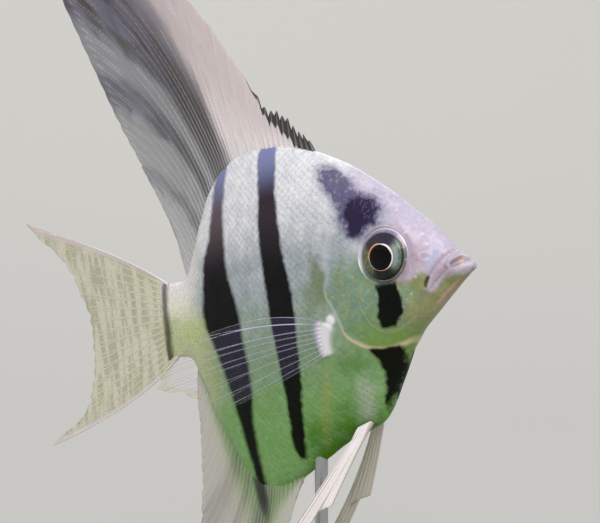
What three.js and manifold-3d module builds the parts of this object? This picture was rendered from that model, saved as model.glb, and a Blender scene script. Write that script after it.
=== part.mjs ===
// Freshwater angelfish (Pterophyllum scalare), a still life-size display model on a rod and base.
// Millimetres, +Z up. The origin is the centre of the base's underside, and the snout points to +X.
import * as THREE from "three";
import { mergeVertices } from "three/addons/utils/BufferGeometryUtils.js";
import Module from "manifold-3d";

const wasm = await Module();
wasm.setup();

// ---------------------------------------------------------------- driving dimensions
const STANDARD_LENGTH = 60; // snout to the base of the tail fin
const GAP = 0.3; // clearance between pieces that touch
const NOSE_UP = THREE.MathUtils.degToRad(9.5); // how far the swimming fish points its snout up
const TAIL_BEND = THREE.MathUtils.degToRad(5); // how far the tail end turns to the fish's left
const BEND_FROM = -35; // the bend starts behind the head
const BEND_OVER = 65; // and is spread over this length
const AXIS_HEIGHT = 88; // the level of the mid-body above the floor
const FIN_THICK = 0.6; // a fin away from its root
const FIN_ROOT_THICK = 1.1; // a fin where it leaves the body
const FIN_SINK = 1.4; // how far a fin's root is sunk in the body, before the body is cut from it
const BASE = { length: 86, width: 52, height: 7, corner: 12, bevel: 1.2 };
const ROD = { bellyX: -50, radius: 1, inBase: 4.7, inBelly: 5 };
const COLLAR = { radius: 3.6, height: 2.8, rim: 0.6 };

// The fish is measured in hundredths of its standard length, in its own straight frame:
// x = 0 at the snout and -100 at the base of the tail fin, z = 0 at the level of the mouth,
// and y < 0 on its right side. BEND_FROM, BEND_OVER, FIN_SINK and ROD.bellyX are in hundredths too.
const UNIT = STANDARD_LENGTH / 100;

// ---------------------------------------------------------------- curves
// A smooth curve through [x, value] knots, given from the snout backwards.
function curve(knots) {
  const slope = knots.map((_, i) => {
    const a = knots[Math.max(i - 1, 0)];
    const b = knots[Math.min(i + 1, knots.length - 1)];
    return (b[1] - a[1]) / (b[0] - a[0]);
  });
  return (x) => {
    let i = 0;
    while (i < knots.length - 2 && x < knots[i + 1][0]) i++;
    const [x0, v0] = knots[i];
    const [x1, v1] = knots[i + 1];
    const h = x1 - x0;
    const t = THREE.MathUtils.clamp((x - x0) / h, 0, 1);
    const rise = v1 - v0;
    return (
      v0 +
      rise * t * t * (3 - 2 * t) +
      h * t * (1 - t) * (slope[i] * (1 - t) - slope[i + 1] * t)
    );
  };
}

// The fish's outline from the side, its half width, and the level at which it is widest. The last
// one is the sharpness of the section's upper and lower edges: 1 is an ellipse, more is a keel.
const top = curve([
  [0.6, 0.2], [-0.7, 1.7], [-2.3, 3.3], [-4.4, 5.6], [-7.4, 9.9], [-10.8, 13.4],
  [-19.5, 21.8], [-31, 30.8], [-43.6, 37.2], [-55, 39.9], [-64, 39.9], [-71, 37.6],
  [-77, 32.2], [-83, 22.4], [-87.4, 14], [-90.4, 10.7], [-94, 10.6], [-100, 11.2],
]);
const bottom = curve([
  [0.6, -0.9], [-1.2, -2.1], [-5.6, -5.2], [-12.6, -10.8], [-18.2, -16], [-23.5, -24.8],
  [-28.4, -32.2], [-33.5, -34.8], [-40, -37], [-47.2, -40.6], [-56, -45], [-64, -47.4],
  [-71, -46.4], [-77, -40.4], [-83, -28.4], [-88, -16.2], [-91, -11.4], [-95, -10.4],
  [-100, -10.8],
]);
const halfWidth = curve([
  [0.6, 0.9], [-1.5, 2.2], [-5, 3.6], [-12, 5.8], [-19, 7.4], [-28, 8.7], [-38, 8.9],
  [-50, 8.3], [-62, 6.8], [-72, 5.1], [-82, 3.6], [-92, 2.4], [-100, 1.4],
]);
const widest = curve([[0.6, 0], [-12, -0.5], [-28, -4], [-42, -6], [-70, -4], [-100, -0.3]]);
const edge = curve([[0.6, 0.9], [-10, 1], [-25, 1.12], [-50, 1.3], [-80, 1.35], [-100, 1]]);

// A point of the skin at station x, where angle runs round the section from the left flank up.
function skin(x, angle, inset = 0) {
  const c = Math.cos(angle);
  const s = Math.sin(angle);
  const height = s > 0 ? top(x) - widest(x) : widest(x) - bottom(x);
  const half = Math.max(halfWidth(x) - inset, 0.2);
  return [x, half * Math.sign(c) * Math.abs(c) ** edge(x), widest(x) + height * s];
}

// How far the right or left flank stands from the middle plane at (x, z).
function flank(x, z) {
  const height = z > widest(x) ? top(x) - widest(x) : widest(x) - bottom(x);
  const s = THREE.MathUtils.clamp((z - widest(x)) / height, -1, 1);
  return halfWidth(x) * Math.sqrt(1 - s * s) ** edge(x);
}

// ---------------------------------------------------------------- solids
function solid(geometry) {
  const plain = geometry.index ? geometry.toNonIndexed() : geometry.clone();
  plain.deleteAttribute("normal");
  plain.deleteAttribute("uv");
  const merged = mergeVertices(plain, 1e-4);
  return new wasm.Manifold(
    new wasm.Mesh({
      numProp: 3,
      vertProperties: new Float32Array(merged.attributes.position.array),
      triVerts: new Uint32Array(merged.index.array),
    }),
  );
}

// A closed solid from vertices and triangles.
function fromFaces(vertices, faces) {
  const geometry = new THREE.BufferGeometry();
  geometry.setAttribute("position", new THREE.Float32BufferAttribute(vertices.flat(), 3));
  geometry.setIndex(faces.flat());
  return solid(geometry);
}

// The whole body, lofted through rings from the snout to the base of the tail fin.
function bodySolid(inset = 0) {
  const around = 26;
  const stations = [0.6, -0.3, -1.5, -3, -5, -7.5, -10];
  for (let x = -13; x > -75; x -= 3.6) stations.push(x);
  for (let x = -77; x >= -92; x -= 2.2) stations.push(x);
  stations.push(-96, -100);
  const vertices = stations.flatMap((x) =>
    Array.from({ length: around }, (_, k) =>
      skin(x, (2 * Math.PI * k) / around, inset).map((v) => v * UNIT),
    ),
  );
  const faces = [];
  for (let i = 0; i < stations.length - 1; i++)
    for (let k = 0; k < around; k++) {
      const a = i * around + k;
      const b = i * around + ((k + 1) % around);
      faces.push([a, a + around, b], [b, a + around, b + around]);
    }
  const last = (stations.length - 1) * around;
  for (let k = 1; k < around - 1; k++) {
    faces.push([0, k, k + 1]);
    faces.push([last, last + k + 1, last + k]);
  }
  return fromFaces(vertices, faces);
}

// A prism across the whole fish, from a closed outline in hundredths, seen from the side.
function prism(outline) {
  const reach = 40;
  const shape = new THREE.Shape(outline.map(([x, z]) => new THREE.Vector2(x * UNIT, z * UNIT)));
  const geometry = new THREE.ExtrudeGeometry(shape, { depth: 2 * reach, bevelEnabled: false });
  return solid(geometry.rotateX(Math.PI / 2).translate(0, reach, 0));
}

// A thin cut across the whole fish along an open line.
function cut(line) {
  const points = line.map(([x, z]) => new THREE.Vector2(x, z));
  const sides = points.map((p, i) => {
    const forward = points[Math.min(i + 1, points.length - 1)]
      .clone()
      .sub(points[Math.max(i - 1, 0)])
      .normalize();
    return new THREE.Vector2(-forward.y, forward.x).multiplyScalar(GAP / 2 / UNIT);
  });
  const left = points.map((p, i) => [p.x + sides[i].x, p.y + sides[i].y]);
  const right = points.map((p, i) => [p.x - sides[i].x, p.y - sides[i].y]);
  return prism([...left, ...right.reverse()]);
}

// Everything on the fish's left (1) or right (-1) of its middle plane.
const side = (sign) =>
  solid(new THREE.BoxGeometry(400, 100, 400).translate(0, sign * (50 + GAP / 2), 0));

// ---------------------------------------------------------------- the body and its parts
// The gill opening: the free rear edge of the gill cover, run on up to the nape.
const GILL_EDGE = [
  [-32.2, 16], [-33.2, 9], [-33.8, 4.6], [-35.6, 0.4], [-35.2, -2.6], [-33.6, -5.6],
  [-32.5, -9], [-31.3, -12], [-28, -14.7], [-24.4, -16.2], [-21, -16.6], [-18.4, -15.8],
];
const NAPE = [[-36, 50], [-34.6, 28]];
const THROAT = [[-12, -14.6]];
// The front edge of the gill cover, where the cheek ends.
const CHEEK_EDGE = [
  [-17, -13.2], [-22, -10.6], [-25.6, -5.4], [-26.8, 2], [-27.6, 10], [-29.4, 15.6],
];
const GILL_COVER_THICK = 1.1;
const TAIL_EDGE = [[-91, 45], [-88.6, 12], [-88, 0], [-88.6, -14], [-91, -45]];
// The mouth runs back from the lips and turns down to the corner of the jaw.
const MOUTH = [[1.4, 1], [-1, 0.8], [-3.8, 0.5], [-6, -1], [-8.6, -3], [-11.4, -5.2]];
const UPPER_LIP_EDGE = [[-11.4, -5.2], [-9.2, -1.4], [-6.2, 1.8], [-3.4, 4], [-2.6, 9]];
const JAW_EDGE = [[-11.4, -5.2], [-11, -8], [-10, -16]];
// Each eyeball is a flattened ball, sunk in the cheek and turned to look out square to it.
const EYE = { at: [-18.8, 5.3], across: 7, deep: 4, sunk: 1.9, forward: 2 };

const body = bodySolid();
const headRegion = prism([...NAPE, ...GILL_EDGE, ...THROAT, [20, -14.6], [20, 50]]);
const upperJawRegion = prism([[20, 1], ...MOUTH, ...UPPER_LIP_EDGE.slice(1), [20, 9]]);
const lowerJawRegion = prism([[20, 1], ...MOUTH, ...JAW_EDGE.slice(1), [20, -16]]);
const coverRegion = prism([...GILL_EDGE, ...CHEEK_EDGE]);
const gillCut = cut([...NAPE, ...GILL_EDGE, ...THROAT, [20, -14.6]]);
const cheekCut = cut([GILL_EDGE.at(-1), ...CHEEK_EDGE, GILL_EDGE[0]]);
const mouthCut = cut([[20, 1], ...MOUTH]);
const upperLipCut = cut(UPPER_LIP_EDGE);
const jawCut = cut(JAW_EDGE);

// An eyeball, or with grow the socket that holds it with a little clearance.
function eye(sign, grow = 0) {
  const [x, z] = EYE.at;
  const geometry = new THREE.SphereGeometry(1, 20, 12); // its poles look out and in
  geometry.scale(EYE.across * UNIT + grow, EYE.deep * UNIT + grow, EYE.across * UNIT + grow);
  geometry.rotateZ(-sign * THREE.MathUtils.degToRad(EYE.forward));
  return solid(geometry.translate(x * UNIT, sign * (flank(x, z) - EYE.sunk) * UNIT, z * UNIT));
}

const headAll = body.intersect(headRegion).subtract(gillCut);
const coreUnderCover = bodySolid(GILL_COVER_THICK / UNIT);
const coreUnderGap = bodySolid((GILL_COVER_THICK + GAP) / UNIT);
const coverBed = coverRegion.add(cheekCut).subtract(coreUnderGap);
const upperJaw = headAll.intersect(upperJawRegion).subtract(mouthCut).subtract(upperLipCut);
const lowerJaw = headAll.intersect(lowerJawRegion).subtract(mouthCut).subtract(jawCut);
const head = headAll
  .subtract(upperJawRegion)
  .subtract(lowerJawRegion)
  .subtract(mouthCut)
  .subtract(upperLipCut)
  .subtract(jawCut)
  .subtract(coverBed)
  .subtract(eye(1, GAP))
  .subtract(eye(-1, GAP));
const coverPlates = headAll.intersect(coverRegion).subtract(cheekCut).subtract(coreUnderCover);
const behindHead = body.subtract(headRegion).subtract(gillCut);
const tailRegion = prism([...TAIL_EDGE, [-140, -45], [-140, 45]]);
const trunk = behindHead.subtract(tailRegion).subtract(cut(TAIL_EDGE));
const tailStem = behindHead.intersect(tailRegion).subtract(cut(TAIL_EDGE));

// The largest connected piece, which leaves out slivers that a thin cut can shave off, with the
// tiny facets along its cuts gathered up.
function largest(piece) {
  return piece.decompose().sort((a, b) => b.volume() - a.volume())[0].simplify(0.02);
}

// ---------------------------------------------------------------- fins
// A fin is a fan of rays. Each ray bends from its root, through a control point, to its tip.
const mix = (a, b, t) => a.map((v, i) => v + (b[i] - v) * t);
const along = (ray, t) => mix(mix(ray.root, ray.bow, t), mix(ray.bow, ray.tip, t), t);

// A path through [s, x, z] knots, as a function of s.
function path(knots) {
  const back = knots.map(([s, x]) => [-s, x]);
  const up = knots.map(([s, , z]) => [-s, z]);
  const xs = curve(back);
  const zs = curve(up);
  return (s) => [xs(-s), zs(-s)];
}

// The fin's sheet, thickened across its own surface and closed all round.
function finSolid(rays, rows) {
  const grid = rays.map((ray) =>
    Array.from({ length: rows + 1 }, (_, j) =>
      new THREE.Vector3(...along(ray, j / rows)).multiplyScalar(UNIT),
    ),
  );
  const columns = grid.length;
  const clampTo = (v, most) => Math.min(Math.max(v, 0), most);
  const normal = (i, j) => {
    const across = grid[clampTo(i + 1, columns - 1)][j]
      .clone()
      .sub(grid[clampTo(i - 1, columns - 1)][j]);
    const out = grid[i][clampTo(j + 1, rows)].clone().sub(grid[i][clampTo(j - 1, rows)]);
    return across.cross(out).normalize();
  };
  const vertices = [];
  for (const face of [1, -1])
    for (let i = 0; i < columns; i++)
      for (let j = 0; j <= rows; j++) {
        const thick = THREE.MathUtils.lerp(FIN_ROOT_THICK, FIN_THICK, Math.min((3 * j) / rows, 1));
        vertices.push(
          grid[i][j].clone().addScaledVector(normal(i, j), (face * thick) / 2).toArray(),
        );
      }
  const at = (face, i, j) => face * columns * (rows + 1) + i * (rows + 1) + j;
  const faces = [];
  const quad = (a, b, c, d) => faces.push([a, b, c], [a, c, d]);
  for (let i = 0; i < columns - 1; i++)
    for (let j = 0; j < rows; j++) {
      quad(at(0, i, j), at(0, i + 1, j), at(0, i + 1, j + 1), at(0, i, j + 1));
      quad(at(1, i, j), at(1, i, j + 1), at(1, i + 1, j + 1), at(1, i + 1, j));
    }
  for (let i = 0; i < columns - 1; i++) {
    quad(at(1, i, 0), at(1, i + 1, 0), at(0, i + 1, 0), at(0, i, 0));
    quad(at(0, i, rows), at(0, i + 1, rows), at(1, i + 1, rows), at(1, i, rows));
  }
  for (let j = 0; j < rows; j++) {
    quad(at(1, 0, j), at(0, 0, j), at(0, 0, j + 1), at(1, 0, j + 1));
    const e = columns - 1;
    quad(at(0, e, j), at(1, e, j), at(1, e, j + 1), at(0, e, j + 1));
  }
  const made = fromFaces(vertices, faces);
  return made.volume() > 0 ? made : fromFaces(vertices, faces.map(([a, b, c]) => [a, c, b]));
}

// A fin of the middle plane. rootX(s) runs along its base, sunk into the body's edge; tips(s) is
// its outline; lean(s) is the angle at which a ray leaves the body, backwards from straight out.
function medianRay({ out, rootX, tips, lean, sway }, s) {
  const x = rootX(s);
  const rim = out > 0 ? top(x) : bottom(x);
  const root = [x, 0, rim - out * FIN_SINK];
  const [tipX, tipZ] = tips(s);
  const length = Math.hypot(tipX - x, tipZ - root[2]);
  const angle = THREE.MathUtils.degToRad(lean(s));
  const reach = 0.5 * length;
  const bow = [x - reach * Math.sin(angle), 0, root[2] + out * reach * Math.cos(angle)];
  return { root, bow, tip: [tipX, sway(s), tipZ] };
}

function spread(from, to, count) {
  return Array.from({ length: count }, (_, i) => from + ((to - from) * i) / (count - 1));
}

const DORSAL = {
  out: 1,
  rootX: (s) => -39 - 49.5 * s,
  tips: path([
    [0, -41.2, 39.6], [0.12, -46.6, 45.4], [0.3, -56.2, 54.2], [0.42, -63.8, 68],
    [0.54, -75.4, 87], [0.6, -102, 114], [0.64, -150, 139], [0.66, -149, 137],
    [0.74, -130, 103], [0.84, -112.5, 65], [0.93, -101, 41], [1, -92.5, 24],
  ]),
  lean: (s) => 12 + 10 * s,
  sway: (s) => 1.6 * Math.sin(7 * s),
  spinesTo: 0.54,
};
const ANAL = {
  out: -1,
  rootX: (s) => -55.5 - 33 * s,
  tips: path([
    [0, -58.4, -47.5], [0.1, -62.5, -56.5], [0.24, -74, -78], [0.3, -94, -100],
    [0.36, -124, -119.5], [0.39, -123, -117.5], [0.52, -108, -88], [0.68, -99, -62],
    [0.84, -94.5, -40], [1, -91.5, -22],
  ]),
  lean: (s) => 14 + 12 * s,
  sway: (s) => -1.6 * Math.sin(6 * s),
  spinesTo: 0.24,
};
const dorsal = (s) => medianRay(DORSAL, s);
const anal = (s) => medianRay(ANAL, s);

// The tail fin fans out from the end of the body to two long corners.
const CAUDAL = {
  rootX: -97,
  rootHalf: 10.3,
  bowX: -116,
  bowHalf: 22.8,
  tips: path([
    [0, -166, 41], [0.03, -163, 37.5], [0.12, -149, 27], [0.3, -141, 13], [0.5, -139, -1],
    [0.7, -141, -14], [0.88, -147, -24], [0.97, -161, -29.5], [1, -164, -31.5],
  ]),
  sway: (s) => 1.6 * Math.sin(5 * s - 1),
};

function caudalRay(s) {
  const spreadZ = 1 - 2 * s;
  const [x, z] = CAUDAL.tips(s);
  return {
    root: [CAUDAL.rootX, 0, CAUDAL.rootHalf * spreadZ],
    bow: [CAUDAL.bowX, 0, CAUDAL.bowHalf * spreadZ],
    tip: [x, CAUDAL.sway(s), z],
  };
}

// A pectoral fin fans out and back from behind the gill cover, in a plane that stands off the
// flank. tips(s) gives each ray's reach along that plane and the level of its tip.
const PECTORAL = {
  rootX: -37.6,
  rootTop: -7.6,
  rootBottom: -15.4,
  out: THREE.MathUtils.degToRad(40),
  tips: path([
    [0, 29, -7.4], [0.12, 35, -9.6], [0.3, 39.8, -14.4], [0.5, 38.8, -19], [0.65, 33, -22],
    [0.8, 26.5, -24.8], [0.9, 20, -24], [1, 11.4, -18.8],
  ]),
};

function pectoralRay(sign, s) {
  const root = THREE.MathUtils.lerp(PECTORAL.rootTop, PECTORAL.rootBottom, s);
  const [reach, tip] = PECTORAL.tips(s);
  const arch = 4.6 * (1 - s);
  const place = (r, z) => [
    PECTORAL.rootX - r * Math.cos(PECTORAL.out),
    sign * (flank(PECTORAL.rootX, root) - 0.6 + r * Math.sin(PECTORAL.out)),
    z,
  ];
  return {
    root: place(0, root),
    bow: place(0.45 * reach, (root + tip) / 2 + arch),
    tip: place(reach, tip),
  };
}

// A pelvic fin hangs from the breast and spreads to the side: a short fan, and behind its front
// edge a long streamer, which bends further back than the rest.
const PELVIC = {
  rootX: -31,
  rootLong: 5,
  rootZ: -32.6,
  rootDrop: 1.2,
  rootSide: 2.6,
  bowAt: 0.45,
  bowBack: 35,
  bowSplay: 0.34,
};
const PELVIC_FAN = [
  { s: 0, length: 21, back: 31, side: 8.2 },
  { s: 0.45, length: 21.5, back: 33, side: 8.2 },
  { s: 0.86, length: 24, back: 37, side: 8.2 },
  { s: 1, length: 15, back: 38, side: 6.4 },
];
const PELVIC_STREAMER = [
  { s: 0.5, length: 76, back: 44, side: 9 },
  { s: 0.78, length: 76, back: 44, side: 9 },
];

function pelvicRay(sign, { s, length, back, side }) {
  const rootX = PELVIC.rootX - PELVIC.rootLong * s;
  const rootZ = PELVIC.rootZ - PELVIC.rootDrop * s;
  const place = (r, degrees, y) => [
    rootX - r * Math.sin(THREE.MathUtils.degToRad(degrees)),
    sign * y,
    rootZ - r * Math.cos(THREE.MathUtils.degToRad(degrees)),
  ];
  const half = PELVIC.bowAt * length;
  return {
    root: place(0, 0, PELVIC.rootSide),
    bow: place(half, Math.min(back, PELVIC.bowBack), PELVIC.rootSide + PELVIC.bowSplay * half),
    tip: place(length, back, side),
  };
}

// The body grown by the gap, which is cut from the fins.
const grownBody = (() => {
  const geometry = new THREE.BufferGeometry();
  const mesh = body.getMesh();
  geometry.setAttribute("position", new THREE.BufferAttribute(mesh.vertProperties, 3));
  geometry.setIndex(new THREE.BufferAttribute(mesh.triVerts, 1));
  geometry.computeVertexNormals();
  const { position, normal } = geometry.attributes;
  for (let i = 0; i < position.count; i++) {
    const p = new THREE.Vector3().fromBufferAttribute(position, i);
    const n = new THREE.Vector3().fromBufferAttribute(normal, i);
    position.setXYZ(i, ...p.addScaledVector(n, GAP).toArray());
  }
  return solid(geometry);
})();

const fan = (ray, from, to, count, rows) =>
  finSolid(spread(from, to, count).map((s) => ray(s)), rows).subtract(grownBody);

// The narrow cut along one ray, which parts a fin's spiny front from its soft rear.
function seam(ray) {
  const line = spread(0, 1, 7).map((t) => along(ray, t));
  return cut([...line, mix(line[5], line[6], 4)].map(([x, , z]) => [x, z]));
}
const dorsalSeam = seam(dorsal(DORSAL.spinesTo));
const analSeam = seam(anal(ANAL.spinesTo));
const dorsalSpiny = fan(dorsal, 0, DORSAL.spinesTo, 11, 8).subtract(dorsalSeam);
const dorsalSoft = fan(dorsal, DORSAL.spinesTo, 1, 20, 10).subtract(dorsalSeam);
const analSpiny = fan(anal, 0, ANAL.spinesTo, 6, 8).subtract(analSeam);
const analSoft = fan(anal, ANAL.spinesTo, 1, 19, 10).subtract(analSeam);

// ---------------------------------------------------------------- materials
const paint = (color, roughness, metalness = 0, extra = {}) =>
  new THREE.MeshStandardMaterial({ color, roughness, metalness, ...extra });
const SKIN = paint(0xc9ccd2, 0.35, 0.2);
const LIPS = paint(0xd4c3d2, 0.4);
const GILL_COVER = paint(0xaebfae, 0.3, 0.25);
const EYE_DARK = paint(0x10120f, 0.1);
const FIN = paint(0xb9b4c4, 0.45, 0, { transparent: true, opacity: 0.75 });
const STEEL = paint(0xb9bcc0, 0.3, 0.9);
const WOOD = paint(0x3a261a, 0.5);

// ---------------------------------------------------------------- the fish in its swimming pose
// Carries a point from the straight frame into the gently bent one.
function bent(point) {
  const x = point.x / UNIT;
  const y = point.y / UNIT;
  const behind = BEND_FROM - x;
  if (behind <= 0) return point;
  const rate = TAIL_BEND / BEND_OVER;
  const turn = rate * behind;
  point.x = (BEND_FROM - Math.sin(turn) / rate + y * Math.sin(turn)) * UNIT;
  point.y = ((1 - Math.cos(turn)) / rate + y * Math.cos(turn)) * UNIT;
  return point;
}

function meshOf(name, piece, material, shape = (p) => p) {
  const { vertProperties, triVerts } = piece.getMesh();
  const geometry = new THREE.BufferGeometry();
  const position = new THREE.Float32BufferAttribute(vertProperties.length, 3);
  for (let i = 0; i < vertProperties.length / 3; i++) {
    const p = shape(new THREE.Vector3().fromArray(vertProperties, i * 3));
    position.setXYZ(i, p.x, p.y, p.z);
  }
  geometry.setAttribute("position", position);
  geometry.setIndex(new THREE.BufferAttribute(triVerts, 1));
  const mesh = new THREE.Mesh(geometry, material);
  mesh.name = name;
  return mesh;
}

const model = new THREE.Group();
const fish = new THREE.Group(); // turned nose-up about the mid-body, which stands over the base
fish.rotation.y = -NOSE_UP;
const pivot = new THREE.Vector3(-50 * UNIT, 0, 0).applyEuler(fish.rotation);
fish.position.set(-pivot.x, 0, AXIS_HEIGHT - pivot.z);
model.add(fish);
model.updateMatrixWorld(true);

const addToFish = (name, piece, material) =>
  fish.add(meshOf(name, largest(piece), material, bent));

// ---------------------------------------------------------------- the stand
// The rod enters the belly between the pelvic and anal fins.
const rodAt = new THREE.Vector3(ROD.bellyX * UNIT, 0, bottom(ROD.bellyX) * UNIT);
rodAt.applyMatrix4(fish.matrixWorld);

function upright(radius, from, to) {
  const geometry = new THREE.CylinderGeometry(radius, radius, to - from, 16);
  return geometry.rotateX(Math.PI / 2).translate(rodAt.x, 0, (from + to) / 2);
}

function baseSolid() {
  const { length, width, height, corner, bevel } = BASE;
  const x = length / 2 - bevel;
  const y = width / 2 - bevel;
  const r = corner - bevel;
  const shape = new THREE.Shape();
  shape.absarc(x - r, y - r, r, 0, Math.PI / 2);
  shape.absarc(r - x, y - r, r, Math.PI / 2, Math.PI);
  shape.absarc(r - x, r - y, r, Math.PI, 1.5 * Math.PI);
  shape.absarc(x - r, r - y, r, 1.5 * Math.PI, 2 * Math.PI);
  const geometry = new THREE.ExtrudeGeometry(shape, {
    depth: height - 2 * bevel,
    bevelThickness: bevel,
    bevelSize: bevel,
    bevelSegments: 2,
    curveSegments: 4,
  });
  const hole = upright(ROD.radius + GAP, BASE.height - ROD.inBase, BASE.height + 5);
  return solid(geometry.translate(0, 0, bevel)).subtract(solid(hole));
}

function collarSolid() {
  const { radius, height, rim } = COLLAR;
  const low = BASE.height + GAP;
  const bore = ROD.radius + GAP;
  const profile = [
    [bore, low], [radius, low], [radius, low + rim], [bore + 1.1, low + height - rim],
    [bore + 0.7, low + height], [bore, low + height], [bore, low],
  ].map(([r, z]) => new THREE.Vector2(r, z));
  const geometry = new THREE.LatheGeometry(profile, 20);
  return solid(geometry.rotateX(Math.PI / 2).translate(rodAt.x, 0, 0));
}

const rodTop = rodAt.z + ROD.inBelly;
const rodSolid = solid(upright(ROD.radius, BASE.height - ROD.inBase + GAP, rodTop));
const rodClearance = upright(ROD.radius + GAP, BASE.height, rodTop + GAP);
rodClearance.applyMatrix4(fish.matrixWorld.clone().invert());

// ---------------------------------------------------------------- assembly
addToFish("head", head, SKIN);
addToFish("upper_jaw", upperJaw, LIPS);
addToFish("lower_jaw", lowerJaw, LIPS);
addToFish("trunk", trunk.subtract(solid(rodClearance)), SKIN);
addToFish("tail_stem", tailStem, SKIN);
addToFish("dorsal_fin_spiny", dorsalSpiny, FIN);
addToFish("dorsal_fin_soft", dorsalSoft, FIN);
addToFish("anal_fin_spiny", analSpiny, FIN);
addToFish("anal_fin_soft", analSoft, FIN);
addToFish("caudal_fin", fan(caudalRay, 0, 1, 17, 9), FIN);
for (const [name, sign] of [["right", -1], ["left", 1]]) {
  addToFish(`eye_${name}`, eye(sign), EYE_DARK);
  addToFish(`gill_cover_${name}`, coverPlates.intersect(side(sign)), GILL_COVER);
  addToFish(`pectoral_fin_${name}`, fan((s) => pectoralRay(sign, s), 0, 1, 11, 6), FIN);
  const pelvicPart = (rays, rows) => finSolid(rays.map((ray) => pelvicRay(sign, ray)), rows);
  const pelvic = pelvicPart(PELVIC_FAN, 5).add(pelvicPart(PELVIC_STREAMER, 12));
  addToFish(`pelvic_fin_${name}`, pelvic.subtract(grownBody), FIN);
}
model.add(meshOf("stand_base", baseSolid(), WOOD));
model.add(meshOf("stand_collar", collarSolid(), STEEL));
model.add(meshOf("stand_rod", rodSolid, STEEL));

export default model;
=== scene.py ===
# %% [markdown]
# # A freshwater angelfish, life-size, swimming over its stand
# The fish is a thin, high disc of muscle with a small head at the front and long trailing fins.
# It could be sculpted by hand, but its shape is simple enough to write down: a few curves from
# the snout to the tail give the outline, the width and the fullness, and everything else is laid
# on the surface that they make. The pieces made here replace its flesh, and follow the same
# curves, so that they fit it.

import math
from types import SimpleNamespace

import bmesh
import bpy
import numpy as np
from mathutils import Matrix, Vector


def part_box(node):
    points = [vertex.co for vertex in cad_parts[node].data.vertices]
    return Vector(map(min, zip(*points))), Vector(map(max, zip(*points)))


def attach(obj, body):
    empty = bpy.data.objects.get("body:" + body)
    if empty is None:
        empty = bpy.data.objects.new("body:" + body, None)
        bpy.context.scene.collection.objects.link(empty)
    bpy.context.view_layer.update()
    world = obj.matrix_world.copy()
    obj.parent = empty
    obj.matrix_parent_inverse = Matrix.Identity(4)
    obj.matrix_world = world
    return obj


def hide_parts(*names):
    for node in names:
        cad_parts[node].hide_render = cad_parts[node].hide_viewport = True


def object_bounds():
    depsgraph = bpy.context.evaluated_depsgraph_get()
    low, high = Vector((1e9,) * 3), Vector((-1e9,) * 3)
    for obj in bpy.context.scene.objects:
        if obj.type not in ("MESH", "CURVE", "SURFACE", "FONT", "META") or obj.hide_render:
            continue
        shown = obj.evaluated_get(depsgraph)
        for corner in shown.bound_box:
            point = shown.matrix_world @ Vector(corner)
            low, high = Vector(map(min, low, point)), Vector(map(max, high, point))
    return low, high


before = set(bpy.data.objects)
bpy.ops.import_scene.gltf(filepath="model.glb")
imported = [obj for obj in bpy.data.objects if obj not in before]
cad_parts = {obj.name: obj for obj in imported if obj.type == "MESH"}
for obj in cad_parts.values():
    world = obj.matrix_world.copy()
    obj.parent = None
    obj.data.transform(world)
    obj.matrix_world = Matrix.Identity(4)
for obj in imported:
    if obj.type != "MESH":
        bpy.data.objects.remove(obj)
cad_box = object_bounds()
cad_size = [round(1000 * side) for side in cad_box[1] - cad_box[0]]
print(f"solid model: {len(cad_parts)} nodes, {cad_size} mm")

# %% [markdown]
# ## The curves of the body
# Lengths on the fish are in hundredths of its standard length, from the snout (x = 0) to the
# base of the tail fin (x = -100). The level of the mouth is z = 0 and the fish's right is y < 0.
# A smooth curve through a few knots is enough for each measure. Its slope at a knot is that
# of the line between the two neighbours, so that the curve never wobbles between knots.

# %% Curves through knots
def curve(*knots):
    """A smooth function through (x, value) knots that are given from the snout backwards."""
    xs, values = np.array(knots, float).T
    order = np.arange(len(xs))
    before = np.maximum(order - 1, 0)
    after = np.minimum(order + 1, len(xs) - 1)
    slope = (values[after] - values[before]) / (xs[after] - xs[before])

    def at(x):
        x = np.asarray(x, float)
        i = np.clip(np.searchsorted(-xs, -x, side="right") - 1, 0, len(xs) - 2)
        step = xs[i + 1] - xs[i]
        t = np.clip((x - xs[i]) / step, 0, 1)
        rise = values[i + 1] - values[i]
        pull = slope[i] * (1 - t) - slope[i + 1] * t
        return values[i] + rise * t * t * (3 - 2 * t) + step * t * (1 - t) * pull

    return at


top = curve(
    (0.6, 0.2), (-0.7, 1.7), (-2.3, 3.3), (-4.4, 5.6), (-7.4, 9.9), (-10.8, 13.4),
    (-19.5, 21.8), (-31, 30.8), (-43.6, 37.2), (-55, 39.9), (-64, 39.9), (-71, 37.6),
    (-77, 32.2), (-83, 22.4), (-87.4, 14), (-90.4, 10.7), (-94, 10.6), (-100, 11.2),
)
bottom = curve(
    (0.6, -0.9), (-1.2, -2.1), (-5.6, -5.2), (-12.6, -10.8), (-18.2, -16), (-23.5, -24.8),
    (-28.4, -32.2), (-33.5, -34.8), (-40, -37), (-47.2, -40.6), (-56, -45), (-64, -47.4),
    (-71, -46.4), (-77, -40.4), (-83, -28.4), (-88, -16.2), (-91, -11.4), (-95, -10.4),
    (-100, -10.8),
)
half_width = curve(
    (0.6, 0.9), (-1.5, 2.2), (-5, 3.6), (-12, 5.8), (-19, 7.4), (-28, 8.7), (-38, 8.9),
    (-50, 8.3), (-62, 6.8), (-72, 5.1), (-82, 3.6), (-92, 2.4), (-100, 1.4),
)
widest = curve((0.6, 0), (-12, -0.5), (-28, -4), (-42, -6), (-70, -4), (-100, -0.3))
keel = curve((0.6, 0.9), (-10, 1), (-25, 1.12), (-50, 1.3), (-80, 1.35), (-100, 1))


def flank(x, z):
    """How far the side of the body stands from the middle plane at (x, z)."""
    height = np.where(z > widest(x), top(x) - widest(x), widest(x) - bottom(x))
    share = np.clip((z - widest(x)) / height, -1, 1)
    return half_width(x) * np.sqrt(1 - share * share) ** keel(x)


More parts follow.
